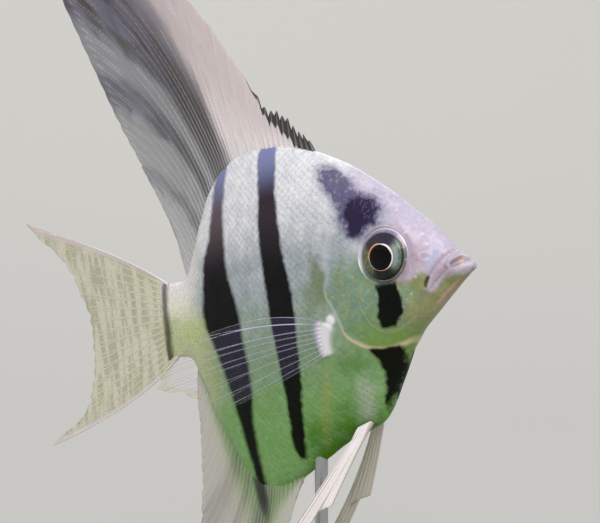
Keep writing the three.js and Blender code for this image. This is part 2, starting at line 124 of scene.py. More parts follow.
# %% [markdown]
# ## From the straight fish to the swimming one
# All shapes are made on a straight, level fish and posed at the very end, which keeps every
# formula simple. The pose is a gentle bend of the tail end to the fish's left and a tilt of the
# snout upwards. Its scale and place are read off the two eyes of the frame.

# %% The pose
EYE_AT = (-18.8, 5.3)  # the eye's centre, seen from the side
EYE_SUNK = 1.9  # how far that centre lies under the cheek
NOSE_UP = math.radians(9.5)
TAIL_BEND = math.radians(5)
BEND_FROM = -35
BEND_OVER = 65
PIVOT_X = -50

eye_centres = [sum(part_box(f"eye_{side}"), Vector()) / 2 for side in ("right", "left")]
eye_out = float(flank(*EYE_AT)) - EYE_SUNK
UNIT = (eye_centres[1].y - eye_centres[0].y) / (2 * eye_out)


def tilted(x, z):
    """Turns the straight fish nose-up about the pivot, in metres."""
    forward = (x - PIVOT_X) * UNIT
    up = z * UNIT
    return (
        forward * math.cos(NOSE_UP) - up * math.sin(NOSE_UP),
        forward * math.sin(NOSE_UP) + up * math.cos(NOSE_UP),
    )


eye_place = (eye_centres[0] + eye_centres[1]) / 2
eye_offset = tilted(*EYE_AT)
PIVOT = Vector((eye_place.x - eye_offset[0], 0, eye_place.z - eye_offset[1]))


def posed(points):
    """Carries points of the straight fish, in hundredths, to their place in metres."""
    x, y, z = np.moveaxis(np.asarray(points, float), -1, 0)
    behind = np.maximum(BEND_FROM - x, 0)
    rate = TAIL_BEND / BEND_OVER
    turn = rate * behind
    bent_x = x + behind - np.sin(turn) / rate + y * np.sin(turn)
    bent_y = (1 - np.cos(turn)) / rate + y * np.cos(turn)
    forward, up = tilted(bent_x, z)
    return np.stack([PIVOT.x + forward, PIVOT.y + bent_y * UNIT, PIVOT.z + up], axis=-1)


print(f"standard length {100000 * UNIT:.1f} mm, pivot {1000 * PIVOT.z:.1f} mm above the floor")

# %% [markdown]
# ## The camera
# The fish is seen from its front right, level with its body and rather close, so that the
# head looms and the tail falls away. A long lens would flatten it. The camera is placed from
# the pivot, in hundredths of the fish's length, and looks along the floor.

# %% Place the camera
CAMERA_TURN = math.radians(37.65)
CAMERA_BACK = 280
CAMERA_UP = 8.96
CAMERA_ASIDE = 0.16
SENSOR = 36
FIELD_WIDTH = 0.5402485  # width of the view over its distance

camera = bpy.data.objects.new("camera", bpy.data.cameras.new("camera"))
bpy.context.scene.collection.objects.link(camera)
aside = Vector((math.cos(CAMERA_TURN), math.sin(CAMERA_TURN), 0)) * CAMERA_ASIDE
back = Vector((math.sin(CAMERA_TURN), -math.cos(CAMERA_TURN), 0)) * CAMERA_BACK
camera.location = PIVOT + (aside + back + Vector((0, 0, CAMERA_UP))) * UNIT
camera.rotation_euler = (math.pi / 2, 0, CAMERA_TURN)
camera.data.sensor_width = SENSOR
camera.data.lens = SENSOR / FIELD_WIDTH
camera.data.clip_start = 0.01
camera.data.clip_end = 20
bpy.context.scene.camera = camera
print(f"camera {1000 * (camera.location - PIVOT).length:.0f} mm away, lens {camera.data.lens:.1f} mm")

# %% [markdown]
# ## Small tools for grids and lines
# Skin, scales, eyes and fins are all grids of points, so one helper turns points, faces and
# flat maps into a mesh, and a few others measure the distance to a drawn line, which is how
# every crease and ridge of the head is placed.

# %% Meshes from points
def grid_faces(columns, rows, wrap=False):
    """Four-sided faces over a grid of columns x rows points, closed into a tube by wrap."""
    i = np.arange(columns if wrap else columns - 1)[:, None] * rows
    j = np.arange(rows - 1)[None, :]
    a = i + j
    b = (i + rows) % (columns * rows) + j
    return np.stack([a, b, b + 1, a + 1], axis=-1).reshape(-1, 4)


def make_piece(name, points, faces, maps, material, weld=False):
    """Adds a smooth mesh. faces lists arrays of faces, each with its own number of corners, and
    maps holds, by name, a (u, v) for every corner of every face."""
    mesh = bpy.data.meshes.new(name)
    every_face = [face for group in faces for face in group.tolist()]
    mesh.from_pydata(points.reshape(-1, 3).tolist(), [], every_face)
    for map_name, corners in maps.items():
        layer = mesh.uv_layers.new(name=map_name)
        layer.data.foreach_set("uv", np.ascontiguousarray(corners, np.float32).ravel())
    mesh.shade_smooth()
    form = bmesh.new()
    form.from_mesh(mesh)
    if form.calc_volume(signed=True) < 0:
        mesh.flip_normals()
    form.free()
    mesh.materials.append(material)
    piece = bpy.data.objects.new(name, mesh)
    bpy.context.scene.collection.objects.link(piece)
    if weld:
        merge = piece.modifiers.new("weld", "WELD")
        merge.merge_threshold = 1e-6
    return piece


def corners_of(faces):
    """The points at the corners of all the faces, in order."""
    return np.concatenate([group.ravel() for group in faces])


def at_corners(values, faces):
    """A value of every point, laid out for every corner of every face."""
    return values.reshape(-1, 2)[corners_of(faces)]


# %% Distances to drawn lines
def through(knots, steps=8):
    """A smooth line of points through a few knots."""
    knots = np.array(knots, float)
    padded = np.concatenate([2 * knots[:1] - knots[1:2], knots, 2 * knots[-1:] - knots[-2:-1]])
    t = np.linspace(0, 1, steps, endpoint=False)[:, None]
    pieces = []
    for a, b, c, d in zip(padded, padded[1:], padded[2:], padded[3:]):
        swing = (2 * a - 5 * b + 4 * c - d) * t**2 + (3 * b - a - 3 * c + d) * t**3
        pieces.append(b + 0.5 * ((c - a) * t + swing))
    return np.concatenate([*pieces, knots[-1:]])


def beside(points, line):
    """Distance from points to a line, the share of the way along it, and the side (+1 left)."""
    best = np.full(points.shape[:-1], 1e9)
    along = np.zeros_like(best)
    side = np.zeros_like(best)
    for i, (a, b) in enumerate(zip(line, line[1:])):
        step = b - a
        offset = points - a
        t = np.clip((offset @ step) / (step @ step), 0, 1)
        distance = np.linalg.norm(offset - t[..., None] * step, axis=-1)
        nearer = distance < best
        best = np.where(nearer, distance, best)
        along = np.where(nearer, (i + t) / (len(line) - 1), along)
        left = step[0] * offset[..., -1] - step[-1] * offset[..., 0]
        side = np.where(nearer, np.sign(left), side)
    return best, along, side


def away_from(points, line):
    """Distance from points to a line."""
    return beside(points, line)[0]


def swell(distance, width):
    """A soft round ridge: 1 on the line, fading out over width."""
    return np.exp(-((distance / width) ** 2))


def ease(value, low, high):
    """A soft step from 0 at low to 1 at high."""
    t = np.clip((value - low) / (high - low), 0, 1)
    return t * t * (3 - 2 * t)


# %% [markdown]
# ## The skin's ground shape
# One skin covers the head, the gill covers, the trunk and the tail stem. It is a stack of
# half sections from the belly to the back, mirrored to the other side. The points of a section
# are spread evenly along it, so that scales and creases come out the same size everywhere.
# The stack is finest at the lips, where the smallest forms are.

# %% Lay out the skin's grid
SKIN_INSET = 0.14  # the skin lies under the solids by the depth of the scales
HALF_COUNT = 200  # steps from the belly to the back
SECTION_STEPS = 500  # finer steps, to measure a section by
NOSE_REACH = 0.25
TAIL_REACH = 1.6
END_RINGS = 6


def runs(*stretches):
    """Stations from front to back: each stretch is (first, last, step)."""
    return np.concatenate([np.arange(first, last, -step) for first, last, step in stretches])


stations = runs((0.25, -3, 0.1), (-3, -12, 0.17), (-12, -40, 0.26), (-40, -100.01, 0.42))


def half_section(x):
    """The right half of the section at x: places, and their height along the skin."""
    angle = np.linspace(-math.pi / 2, math.pi / 2, SECTION_STEPS)
    rise = np.sin(angle)
    upper, lower = top(x) - SKIN_INSET, bottom(x) + SKIN_INSET
    height = np.where(rise > 0, upper - widest(x), widest(x) - lower)
    y = (half_width(x) - SKIN_INSET) * np.maximum(np.cos(angle), 0) ** keel(x)
    z = widest(x) + height * rise
    length = np.concatenate([[0], np.cumsum(np.hypot(np.diff(y), np.diff(z)))])
    even = np.linspace(0, length[-1], HALF_COUNT + 1)
    spread = np.stack([np.full_like(even, x), -np.interp(even, length, y), np.interp(even, length, z)])
    level = length[SECTION_STEPS // 2]
    return spread.T, even - level


sections = [half_section(x) for x in stations]
right_half = np.array([places for places, _ in sections])
skin_height = np.array([heights for _, heights in sections])  # along the skin, 0 at the widest level


def rounded_ends(half):
    """Closes the stack with a blunt round nose and a thin wedge at the tail."""
    bow = np.linspace(1, 0, END_RINGS + 1)[:-1] * math.pi / 2
    front, rear = half[0], half[-1]
    middle = front.mean(axis=0) * (1, 0, 1)
    nose = [middle + (front - middle) * math.cos(a) + (NOSE_REACH * math.sin(a), 0, 0) for a in bow]
    tail = [rear * (1, math.cos(a), 1) - (TAIL_REACH * math.sin(a), 0, 0) for a in bow[::-1]]
    return np.concatenate([nose, half, tail])


ground_half = rounded_ends(right_half)
height_half = np.pad(skin_height, ((END_RINGS, END_RINGS), (0, 0)), mode="edge")
print(f"skin: {len(ground_half)} sections of {2 * HALF_COUNT} points")

# %% [markdown]
# ## Ridges and creases of the head
# The face of an angelfish is a set of thin bony plates under smooth skin. Sculpting them by
# brush would not repeat, so each one is written as a line on the side of the head and a
# profile across it: a ridge stands out, a crease sinks in, and a plate steps up at its edge.
# The eye's rim is different. The skin leaves its own curve there and rises to a flat ring,
# so that the eyeball bulges from the cheek as it does in life.

# %% The lines of the face
GILL_KNOTS = [
    (-32.2, 16), (-33.2, 9), (-33.8, 4.6), (-35.6, 0.4), (-35.2, -2.6), (-33.6, -5.6), (-32.5, -9),
    (-31.3, -12), (-28, -14.5), (-24.5, -15.9), (-21, -16.1), (-17.2, -14.7), (-13.9, -12.4),
]
GILL_EDGE = through(GILL_KNOTS)
CHEEK_EDGE = through([
    (-12.1, -8), (-16.2, -10.9), (-20.5, -12.6), (-24, -10.5), (-26, -6.4), (-27, -2),
])
MAXILLA_FRONT = through([(-4.5, 0.2), (-6, -1.3), (-8.2, -3.1), (-9.6, -4.6)])
MAXILLA_REAR = through([(-3.4, 4.1), (-5.2, 2.9), (-7.4, 0.9), (-9.1, -1.3), (-10.7, -4)])
MAXILLA_MIDDLE = through([(-4.6, 1.6), (-6.4, 0.2), (-8.4, -1.9), (-10, -4)])
JAW_SLIT = through([(-8.9, -0.9), (-9.8, -2.4), (-10.5, -4)])
SNOUT_FOLD = through([(-2.4, 5.4), (-3.2, 4.2), (-4.4, 3.5)])
JAW_LINE = through([(-3.2, -2.6), (-6.3, -5), (-10, -8), (-13.4, -11)])
SHOULDER = through([(-34.9, -15.4), (-33.2, -18.5), (-31.8, -22.9), (-32, -28)])
PECTORAL_ROOT = through([(-35.7, -8), (-37.1, -10.4), (-37.8, -13), (-37.5, -16.4)])
PECTORAL_KNOB = (-35, -7.6)
KNOB_SIZE = 1.15
MUSCLE_HEIGHT = 0.045
LATERAL_LINE = through([(-34.5, 14), (-44, 20), (-56, 22), (-68, 18), (-75, 10), (-78, 5)])
NOSTRIL = (-9.1, 3.3)
NOSTRIL_RADIUS = 0.95
NOSTRIL_STRETCH = (0.85, 1)
PORES = [(-9.4, 8.7), (-8.5, 6.2), (-12.6, 9.6), (-11.6, -0.8), (-13.6, -4.4), (-15.8, 15.6)]

# %% [markdown]
# The mouth is a little open. From the side its opening is a slanted oval under an arched upper
# lip, and a narrow gap carries it round the front. Lines that go round it are drawn in space.

# %% The lines of the mouth
MOUTH_AT = (-2.4, 1.3)
MOUTH_SLANT = math.radians(25)
MOUTH_REACH = 1.9
MOUTH_RISE = 0.85
MOUTH_DEPTH = 0.9
LIP_ROLL = 0.6  # how far outside the opening the upper lip swells
LIP_FURROW = 1.25  # and the furrow behind it
LIP_GAP = through([(-1.4, 1.6, 1.1), (-0.6, 0.9, 1.05), (-0.2, 0.4, 1.0), (-0.1, 0, 1.0)])
UPPER_LIP = through([(-4.2, 2.9, 3.2), (-2.4, 2.2, 2.9), (-1.2, 1.1, 2.4), (-0.9, 0, 2.2)])
LOWER_LIP = through([
    (-4.4, 3.3, -0.7), (-2.8, 2.7, -0.7), (-1.2, 1.8, -0.3), (-0.2, 0.8, -0.1), (0.1, 0, -0.1),
])


# %% Start the relief
def mirrored(half):
    """The whole ring from its right half: belly, right side, back, left side."""
    left = half[:, -2:0:-1] * (1, -1, 1)
    return np.concatenate([half, left], axis=1)


def outward(grid):
    """Unit normals of a ringed grid of points."""
    ahead = np.gradient(grid, axis=0)
    wrapped = np.concatenate([grid[:, -1:], grid, grid[:, :1]], axis=1)
    around = (wrapped[:, 2:] - wrapped[:, :-2]) / 2
    normal = np.cross(around, ahead)
    return normal / np.maximum(np.linalg.norm(normal, axis=-1, keepdims=True), 1e-12)


ground = mirrored(ground_half)
side_view = ground[..., [0, 2]]
folded = np.abs(ground)[..., [1]]
in_space = np.concatenate([ground[..., :1], folded, ground[..., 2:]], axis=-1)
relief = np.zeros(ground.shape[:2])
# Painted shade in creases, slits and pits is negative here, and pale edges are positive, with a painted
# highlight on the pectoral knob and painted light round the eye's rim.
crease_shade_and_pale = np.zeros_like(relief)  # negative in creases and positive on pale edges, for the colours


# %% Ways to add to the relief
def ridge(line, width, height, tone=0.0, fade=0.0):
    """Raises the skin along a line, or sinks it, and tones it: a negative tone paints shade into a
    crease, a positive one pales it. fade softens both ends.
    """
    distance, along, _ = beside(side_view, np.array(line))
    shape = swell(distance, width)
    if fade:
        shape = shape * ease(along, 0, fade) * ease(1 - along, 0, fade)
    relief[...] += height * shape
    crease_shade_and_pale[...] += tone * shape


def plate(line, height, width, inside, reach, tone, fade=0.12):
    """Steps the skin up on one side of a line, inside (+1 left, -1 right). The step dies away
    over reach behind it, and fade softens the line's first end."""
    distance, along, side = beside(side_view, np.array(line))
    signed = distance * side * inside
    ends = ease(along, 0, fade) * ease(1 - along, 0, 0.12)
    step = ease(signed, -width, width) * np.exp(-np.maximum(signed, 0) / reach)
    under = swell(signed + 1.5 * width, width)
    relief[...] += ends * height * (step - 0.2 * under)
    crease_shade_and_pale[...] += ends * tone * swell(signed - 0.3 * width, width)


def round_spot(place, stretch=(1, 1)):
    """Distances on the side view from a place."""
    return np.linalg.norm((side_view - place) * stretch, axis=-1)


# %% Shape the mouth
from_mouth = side_view - MOUTH_AT
forward, up = from_mouth[..., 0], from_mouth[..., 1]
along_mouth = forward * math.cos(MOUTH_SLANT) + up * math.sin(MOUTH_SLANT)
over_mouth = up * math.cos(MOUTH_SLANT) - forward * math.sin(MOUTH_SLANT)
mouth_radius = np.hypot(along_mouth / MOUTH_REACH, over_mouth / MOUTH_RISE)
past_lips = np.hypot(along_mouth, over_mouth) * (1 - 1 / np.maximum(mouth_radius, 0.05))
upper_lip = ease(over_mouth, -0.3, 0.2)
mouth_open = (1 - ease(past_lips, -0.4, 0.08)) * ease(folded[..., 0], 0.45, 1.1)
front_gap = swell(away_from(in_space, LIP_GAP), 0.26)

relief -= MOUTH_DEPTH * mouth_open + 0.4 * front_gap * (1 - mouth_open)
relief += 0.25 * swell(away_from(in_space, UPPER_LIP), 0.55) * (1 - mouth_open)
lip_roll = 0.36 * swell(past_lips - LIP_ROLL, 0.42)
relief += upper_lip * (lip_roll - 0.14 * swell(past_lips - LIP_FURROW, 0.22))
relief += 0.24 * swell(away_from(in_space, LOWER_LIP), 0.85)
lip_edge = 0.8 * swell(past_lips - 0.2, 0.16)
# The upper lip's edge is pale; painted shade goes in the furrow behind it and along the lower edge of
# the opening.
crease_shade_and_pale += upper_lip * (lip_edge - 0.25 * swell(past_lips - LIP_FURROW, 0.2))
crease_shade_and_pale -= (1 - upper_lip) * 0.7 * swell(past_lips - 0.04, 0.12)

# %% Shape the bones, the gill cover and the pores
# A negative tone paints shade into a crease or slit, and a positive one pales a ridge.
ridge(MAXILLA_MIDDLE, 1.0, 0.34)
ridge(MAXILLA_REAR, 0.34, -0.34, tone=-0.35, fade=0.15)
ridge(MAXILLA_FRONT, 0.3, -0.22, tone=-0.15, fade=0.2)
ridge(JAW_SLIT, 0.32, -0.4, tone=-1.0, fade=0.3)
ridge(SNOUT_FOLD, 0.35, -0.2, tone=-0.2, fade=0.3)
ridge(JAW_LINE, 0.5, 0.12, tone=0.3, fade=0.3)
ridge(SHOULDER, 1.1, 0.28, tone=0.3, fade=0.35)
ridge(PECTORAL_ROOT, 2.1, 0.55, tone=1.5, fade=0.12)
ridge(LATERAL_LINE, 0.35, 0.07, tone=0.15, fade=0.1)
plate(GILL_EDGE, height=0.34, width=0.7, inside=1, reach=5, tone=1.0, fade=0.4)
plate(CHEEK_EDGE, height=0.16, width=0.5, inside=-1, reach=4, tone=0.4)

for pore in PORES:
    from_pore = round_spot(pore)
    relief += 0.07 * swell(from_pore, 0.5)
    crease_shade_and_pale += 0.8 * swell(from_pore, 0.45)
# The knob is raised, and its pale tone is a painted highlight.
knob_and_highlight = swell(round_spot(PECTORAL_KNOB), KNOB_SIZE)
relief += 0.35 * knob_and_highlight
crease_shade_and_pale += 2.3 * knob_and_highlight
# The nostril's rim is pale and its pit gets painted shade.
from_nostril = round_spot(NOSTRIL, NOSTRIL_STRETCH)
nostril_rim = swell(from_nostril - NOSTRIL_RADIUS, 0.25)
relief += 0.06 * nostril_rim - 0.12 * swell(from_nostril, 0.5)
crease_shade_and_pale += 0.35 * nostril_rim - 0.2 * swell(from_nostril, 0.55)

# The muscle under the flank lies in chevrons that point forwards.
chevron = side_view[..., 0] + 0.32 * np.abs(side_view[..., 1] - 2)
relief += MUSCLE_HEIGHT * np.sin(0.9 * chevron) * ease(-side_view[..., 0], 40, 50)
relief[-1] = 0  # the sides meet here

# %% Raise the eye's rim and sink its socket
EYE_FORWARD = math.radians(2)
RIM_RADIUS = 6.75
RIM_LEVEL = 0.15
RIM_HEIGHT = 0.12
RIM_LEAN = 0.05
SOCKET_DEPTH = 3.2
PULL_FROM = 7
PULL_TO = 11.5
PULL = 0.8
NEAR_EYE = 12

skin_points = ground + outward(ground) * relief[..., None]
from_eye = side_view - EYE_AT
eye_radius = np.linalg.norm(from_eye, axis=-1)
cheek_at_eye = float(flank(*EYE_AT))
turned = math.tan(EYE_FORWARD) * from_eye[..., 0]
ring_level = cheek_at_eye + RIM_LEVEL - turned - RIM_LEAN * from_eye[..., 1]
own_level = np.abs(skin_points[..., 1])
pulled = PULL * (1 - ease(eye_radius, PULL_FROM, PULL_TO))
rim = RIM_HEIGHT * swell(eye_radius - RIM_RADIUS, 0.3)
socket = SOCKET_DEPTH * (1 - ease(eye_radius, RIM_RADIUS - 0.75, RIM_RADIUS - 0.1))
level = own_level + pulled * (ring_level - own_level) + rim - socket
skin_side = np.sign(ground[..., 1])
skin_points[..., 1] = np.where(eye_radius < NEAR_EYE, skin_side * level, skin_points[..., 1])
# The rim is pale, partly its own colour and partly painted light against the shade in the socket; more
# so above than below.
rim_pale_and_painted_light = 0.3 + 0.8 * ease(from_eye[..., 1], -4.5, 0)
crease_shade_and_pale += rim_pale_and_painted_light * swell(eye_radius - RIM_RADIUS + 0.2, 0.35)
skin_normals = outward(skin_points)
print(f"relief from {relief.min():.2f} to {relief.max():.2f} hundredths of the fish's length")

# %% [markdown]
# ## Maps on the skin
# The skin carries three flat maps. "OFBake" is its own unwrap: the right side fills one half
# and the left side the other, each laid out by the distance along the skin, so nothing is
# stretched. "side" holds the place on the fish as seen from the side, which is what the
# markings are drawn by, and "detail" holds how open the mouth is there and its painted shade
# and pale tone: shade in creases, pale edges, a painted highlight on the pectoral knob and
# painted light round the eye.

# %% The flat maps
UNWRAP_START = 1.5
UNWRAP_LENGTH = 104
UNWRAP_HEIGHT = 104
UNWRAP_MARGIN = 0.01


def unwrap(x, height, is_left):
    """Places a point of the skin on the unwrap, from its station and its height along the skin."""
    across = (0.5 - 2 * UNWRAP_MARGIN) * (UNWRAP_START - x) / UNWRAP_LENGTH + UNWRAP_MARGIN
    up = 0.5 + height / UNWRAP_HEIGHT
    return np.stack([across + 0.5 * is_left, up], axis=-1)


def side_map(x, z):
    """Where a point lies on the fish seen from the side: 0 at the snout, 1 at the tail base."""
    return np.stack([-x / 100, z / 100], axis=-1)


def corner_is_left(faces, count_around):
    """1 for the corners of the faces on the fish's left side."""
    place_around = faces % count_around
    face_is_left = place_around.mean(axis=1) > HALF_COUNT
    crosses_seam = place_around.max(axis=1) - place_around.min(axis=1) > HALF_COUNT
    return np.repeat(face_is_left | crosses_seam, 4).astype(float)


around = 2 * HALF_COUNT
height_whole = np.concatenate([height_half, height_half[:, -2:0:-1]], axis=1)
rows = len(skin_points)
ring_faces = grid_faces(rows, around)
seam_i = np.arange(rows - 1) * around
seam = np.stack([seam_i + around - 1, seam_i + 2 * around - 1, seam_i + around, seam_i], axis=-1)
skin_faces = [np.concatenate([ring_faces, seam])]
flat_x = ground[..., 0].ravel()
flat_height = height_whole.ravel()
corners = corners_of(skin_faces)
detail = np.stack([mouth_open, 0.5 + 0.25 * np.clip(crease_shade_and_pale, -2, 2)], axis=-1)
skin_maps = {
    "OFBake": unwrap(flat_x[corners], flat_height[corners], corner_is_left(skin_faces[0], around)),
    "side": at_corners(side_map(skin_points[..., 0], skin_points[..., 2]), skin_faces),
    "detail": at_corners(detail, skin_faces),
}
print(f"skin: {2 * len(skin_faces[0])} triangles")

# %% [markdown]
# ## Writing shaders as sums
# A fish's colours are zones, edges and noise over its flank, which is arithmetic. Wiring
# that by hand hides it, so a small class wraps a socket and lets Python's operators add the Math
# nodes. Every other node comes from one method, and colours are blended with the Mix node.

# %% A socket that can be added and multiplied
class Flow:
    """An output socket of a node, or a step of the sums made with it."""

    def __init__(self, bench, socket):
        self.bench = bench
        self.socket = socket

    def math(self, operation, *values):
        return self.bench.node("Math", {"operation": operation}, dict(enumerate(values)))

    def __add__(self, other):
        return self.math("ADD", self, other)

    def __radd__(self, other):
        return self.math("ADD", other, self)

    def __sub__(self, other):
        return self.math("SUBTRACT", self, other)

    def __rsub__(self, other):
        return self.math("SUBTRACT", other, self)

    def __mul__(self, other):
        return self.math("MULTIPLY", self, other)

    def __rmul__(self, other):
        return self.math("MULTIPLY", other, self)

    def __truediv__(self, other):
        return self.math("DIVIDE", self, other)

    def __neg__(self):
        return self * -1

    def __pow__(self, other):
        return self.math("POWER", self, other)

    def __abs__(self):
        return self.math("ABSOLUTE", self)


class Bench:
    """A material on the workbench."""

    def __init__(self, name):
        self.material = bpy.data.materials.new(name)
        self.material.use_nodes = True
        self.nodes = self.material.node_tree.nodes
        self.links = self.material.node_tree.links
        self.nodes.clear()

    def node(self, kind, settings, sockets, out=0):
        """Adds a node: its settings first, then the values or links of its sockets."""
        made = self.nodes.new(f"ShaderNode{kind}")
        for name, value in settings.items():
            if name == "points":
                self.draw_curve(made, value)
            else:
                setattr(made, name, value)
        for name, value in sockets.items():
            if isinstance(value, Flow):
                self.links.new(value.socket, made.inputs[name])
            else:
                made.inputs[name].default_value = value
        return Flow(self, made.outputs[out]) if made.outputs else made

    @staticmethod
    def draw_curve(made, points):
        line = made.mapping.curves[0]
        for x, y in points[1:-1]:
            line.points.new(x, y)
        line.points[0].location = points[0]
        line.points[-1].location = points[-1]
        made.mapping.update()

    def split(self, vector):
        """The three parts of a vector."""
        return [self.node("SeparateXYZ", {}, {0: vector}, out) for out in (0, 1, 2)]

    def place(self, map_name):
        """The two parts of a flat map."""
        return self.split(self.node("UVMap", {"uv_map": map_name}, {}))[:2]

    def solid(self):
        """The place in space, in the model's own frame."""
        return self.node("TexCoord", {}, {}, 3)

    def vector(self, *parts):
        return self.node("CombineXYZ", {}, dict(enumerate(parts)))

    def noise(self, where, scale, detail=2.0, roughness=0.5):
        settings = {"noise_dimensions": "3D"}
        sockets = {"Vector": where, "Scale": scale, "Detail": detail, "Roughness": roughness}
        return self.node("TexNoise", settings, sockets)

    def ease(self, value, low, high):
        """A soft step from 0 at low to 1 at high."""
        return self.node("MapRange", {"interpolation_type": "SMOOTHSTEP"}, {0: value, 1: low, 2: high})

    def line(self, value, points):
        """A smooth drawn curve of value."""
        return self.node("FloatCurve", {"points": points}, {1: value})

    def at_most(self, value, limit):
        return value.math("MINIMUM", value, limit)

    def blend(self, share, *colours):
        """Mixes two colours, each a link or a six-figure code."""
        first, second = (tint(c) if isinstance(c, str) else c for c in colours)
        return self.node("Mix", {"data_type": "RGBA"}, {0: share, 6: first, 7: second}, 2)

    def bump(self, strength, distance, height):
        sockets = {"Strength": strength, "Distance": distance, "Height": height}
        return self.node("Bump", {}, sockets)

    def finish(self, **sockets):
        """Ends in one Principled shader. Its sockets are given with _ for a space."""
        named = {name.replace("_", " "): value for name, value in sockets.items()}
        shader = self.node("BsdfPrincipled", {}, named)
        self.node("OutputMaterial", {}, {"Surface": shader})
        return self.material


def tint(code):
    """A colour from its usual six-figure code, as light rather than as screen values."""
    parts = [int(code[i : i + 2], 16) / 255 for i in (0, 2, 4)]
    return (*(((c + 0.055) / 1.055) ** 2.4 if c > 0.04 else c / 12.92 for c in parts), 1)


# %% [markdown]
# ## The markings
# An angelfish wears four upright black bars: through the eye, behind the pectoral fin, from
# the tall dorsal fin down to the anal fin, and across the tail stem. Each bar is the space between
# two drawn edges, roughened a little by noise, because pigment cells don't stop at a ruled
# line. The first one is broken up: a violet smear on the nape, a blotch, a block under the eye
# and a patch on the throat. Skin and scales share this one function.

# %% The bars' edges
def level_curve(knots):
    """Knots (z, x) of a bar's edge in hundredths, as points of a drawn curve from low to high."""
    return [((z + 50) / 100, -x / 100) for z, x in sorted(knots)]


BARS = {
    "second": (
        [
            (50, -51.5), (36, -50.3), (26, -49.3), (12, -47.7), (0, -45.8), (-12, -45.9),
            (-20, -46.9), (-30, -49.5), (-41, -52.4), (-50, -54),
        ],
        [
            (50, -57), (38, -56), (28, -55.3), (18, -55.8), (8, -54.8), (-8, -53.8), (-20, -53.1),
            (-30, -53.9), (-37, -55), (-41, -53.8), (-50, -54),
        ],
    ),
    "third": (
        [
            (50, -68), (32, -68.9), (20, -69.4), (8, -68.5), (0, -66.3), (-10, -65.2), (-22, -65),
            (-28, -66.6), (-37, -67.3), (-50, -69),
        ],
        [
            (50, -70.5), (40, -71.5), (32, -73.3), (22, -75.3), (14, -78.6), (4, -80.5),
            (-2, -80.9), (-9, -78.2), (-17, -75.2), (-25, -73.3), (-37, -71.6), (-50, -72.5),
        ],
    ),
    "fourth": (
        [(50, -97), (8, -97.2), (-3, -96.8), (-12, -98), (-50, -98)],
        [(50, -101), (8, -100.6), (-3, -100.3), (-12, -101.4), (-50, -101.4)],
    ),
}
UNDER_EYE = (
    [(50, -16.1), (-2, -16.1), (-5, -16), (-7.5, -16.4), (-9.5, -17.6), (-11.3, -18.8), (-50, -19)],
    [(50, -21.8), (-2, -21.8), (-4, -21.3), (-6, -21.5), (-9, -22.2), (-11.2, -21.9), (-50, -21.8)],
)
THROAT = (
    [(50, -19), (-16, -19.3), (-22, -21.6), (-27, -24.8), (-30, -27), (-50, -27)],
    [(50, -26), (-15.5, -26.2), (-19, -24.6), (-24, -25.2), (-30, -27.2), (-50, -27)],
)


# %% Draw the bars and spots
def bar(bench, x, z, edges, soft):
    """How far inside a bar a place lies, from 0 to 1, with soft edges."""
    front, rear = (bench.line(z + 0.5, level_curve(edge)) for edge in edges)
    return bench.ease(x - front, -soft, soft) * bench.ease(rear - x, -soft, soft)


def spot(bench, x, z, centre, radii, lean_degrees, soft, torn=0.0):
    """A soft oval patch, from its centre and radii in hundredths. torn frays its edge."""
    lean = math.radians(lean_degrees)
    right = x + centre[0] / 100
    up = z - centre[1] / 100
    along = (right * math.cos(lean) + up * math.sin(lean)) / (radii[0] / 100)
    across = (up * math.cos(lean) - right * math.sin(lean)) / (radii[1] / 100)
    reach = (along * along + across * across) ** 0.5
    return 1 - bench.ease(reach + torn, 1 - soft, 1 + soft)


def markings(bench, x, z):
    """How black the fish is, and how violet, at a place seen from the side."""
    where = bench.solid()
    ragged = 0.012 * (bench.noise(where, 900, 3) - 0.5) + 0.01 * (bench.noise(where, 250, 2) - 0.5)
    x = x + ragged
    z = z + 0.8 * ragged
    bars = bar(bench, x, z, BARS["second"], 0.007) * bench.ease(z, -0.41, -0.395)
    bars = bars + bar(bench, x, z, BARS["third"], 0.011)
    bars = bars + 0.82 * bar(bench, x, z, BARS["fourth"], 0.014)
    block = bar(bench, x, z, UNDER_EYE, 0.004)
    block = block * bench.ease(z, -0.118, -0.108) * bench.ease(-0.01 - z, -0.01, 0.01)
    throat = bar(bench, x, z, THROAT, 0.005) * bench.ease(-0.155 - z, -0.004, 0.006)

    torn = 1.1 * (bench.noise(where, 420, 4, 0.65) - 0.5)
    blotch = spot(bench, x, z, (-24.2, 16.3), (4.4, 4), 30, 0.22, torn)
    blotch = blotch + spot(bench, x, z, (-25.7, 14), (1.9, 3.2), 15, 0.4, 1.5 * torn)
    flecks = bench.noise(bench.vector(x * 190 + z * 60, z * 90, 0), 1, 3)
    flecked = bench.ease(flecks, 0.5, 0.62)
    blotch = blotch * (1 - 0.55 * flecked * spot(bench, x, z, (-22.6, 17.4), (3.4, 2.6), 40, 0.5))
    smear = spot(bench, x, z, (-32.6, 26.2), (4.8, 2.5), 43, 0.75, 0.5 * torn)
    smear = smear + spot(bench, x, z, (-28.8, 21.6), (5, 2.9), 62, 0.75, 0.5 * torn)
    smear = smear + spot(bench, x, z, (-24.8, 15.6), (5.6, 5.2), 35, 0.5, 0.6 * torn)
    black = bench.at_most(bars + block + throat + blotch, 1)
    violet = bench.at_most(smear + bench.ease(z, 0.2, 0.36) * bars, 1)
    return black, violet


# %% [markdown]
# ## The colours between the bars
# The ground colour runs from lavender white on the back through pearl grey to green on the
# belly. The white of the back is partly painted light from above, and the green of the belly
# and the lower head is a painted reflection of green surroundings. The snout is lilac, the cheek
# teal and the jaw olive. The shine comes from platelets under the skin, so the pale parts are a
# little metallic and the black ones are not, with a wet coat over the pale parts. Mottling and
# speckles are noise, and the painted shade of creases, the pores and pale edges, the painted
# highlight on the pectoral knob and the painted light round the eye come from the "detail" map.

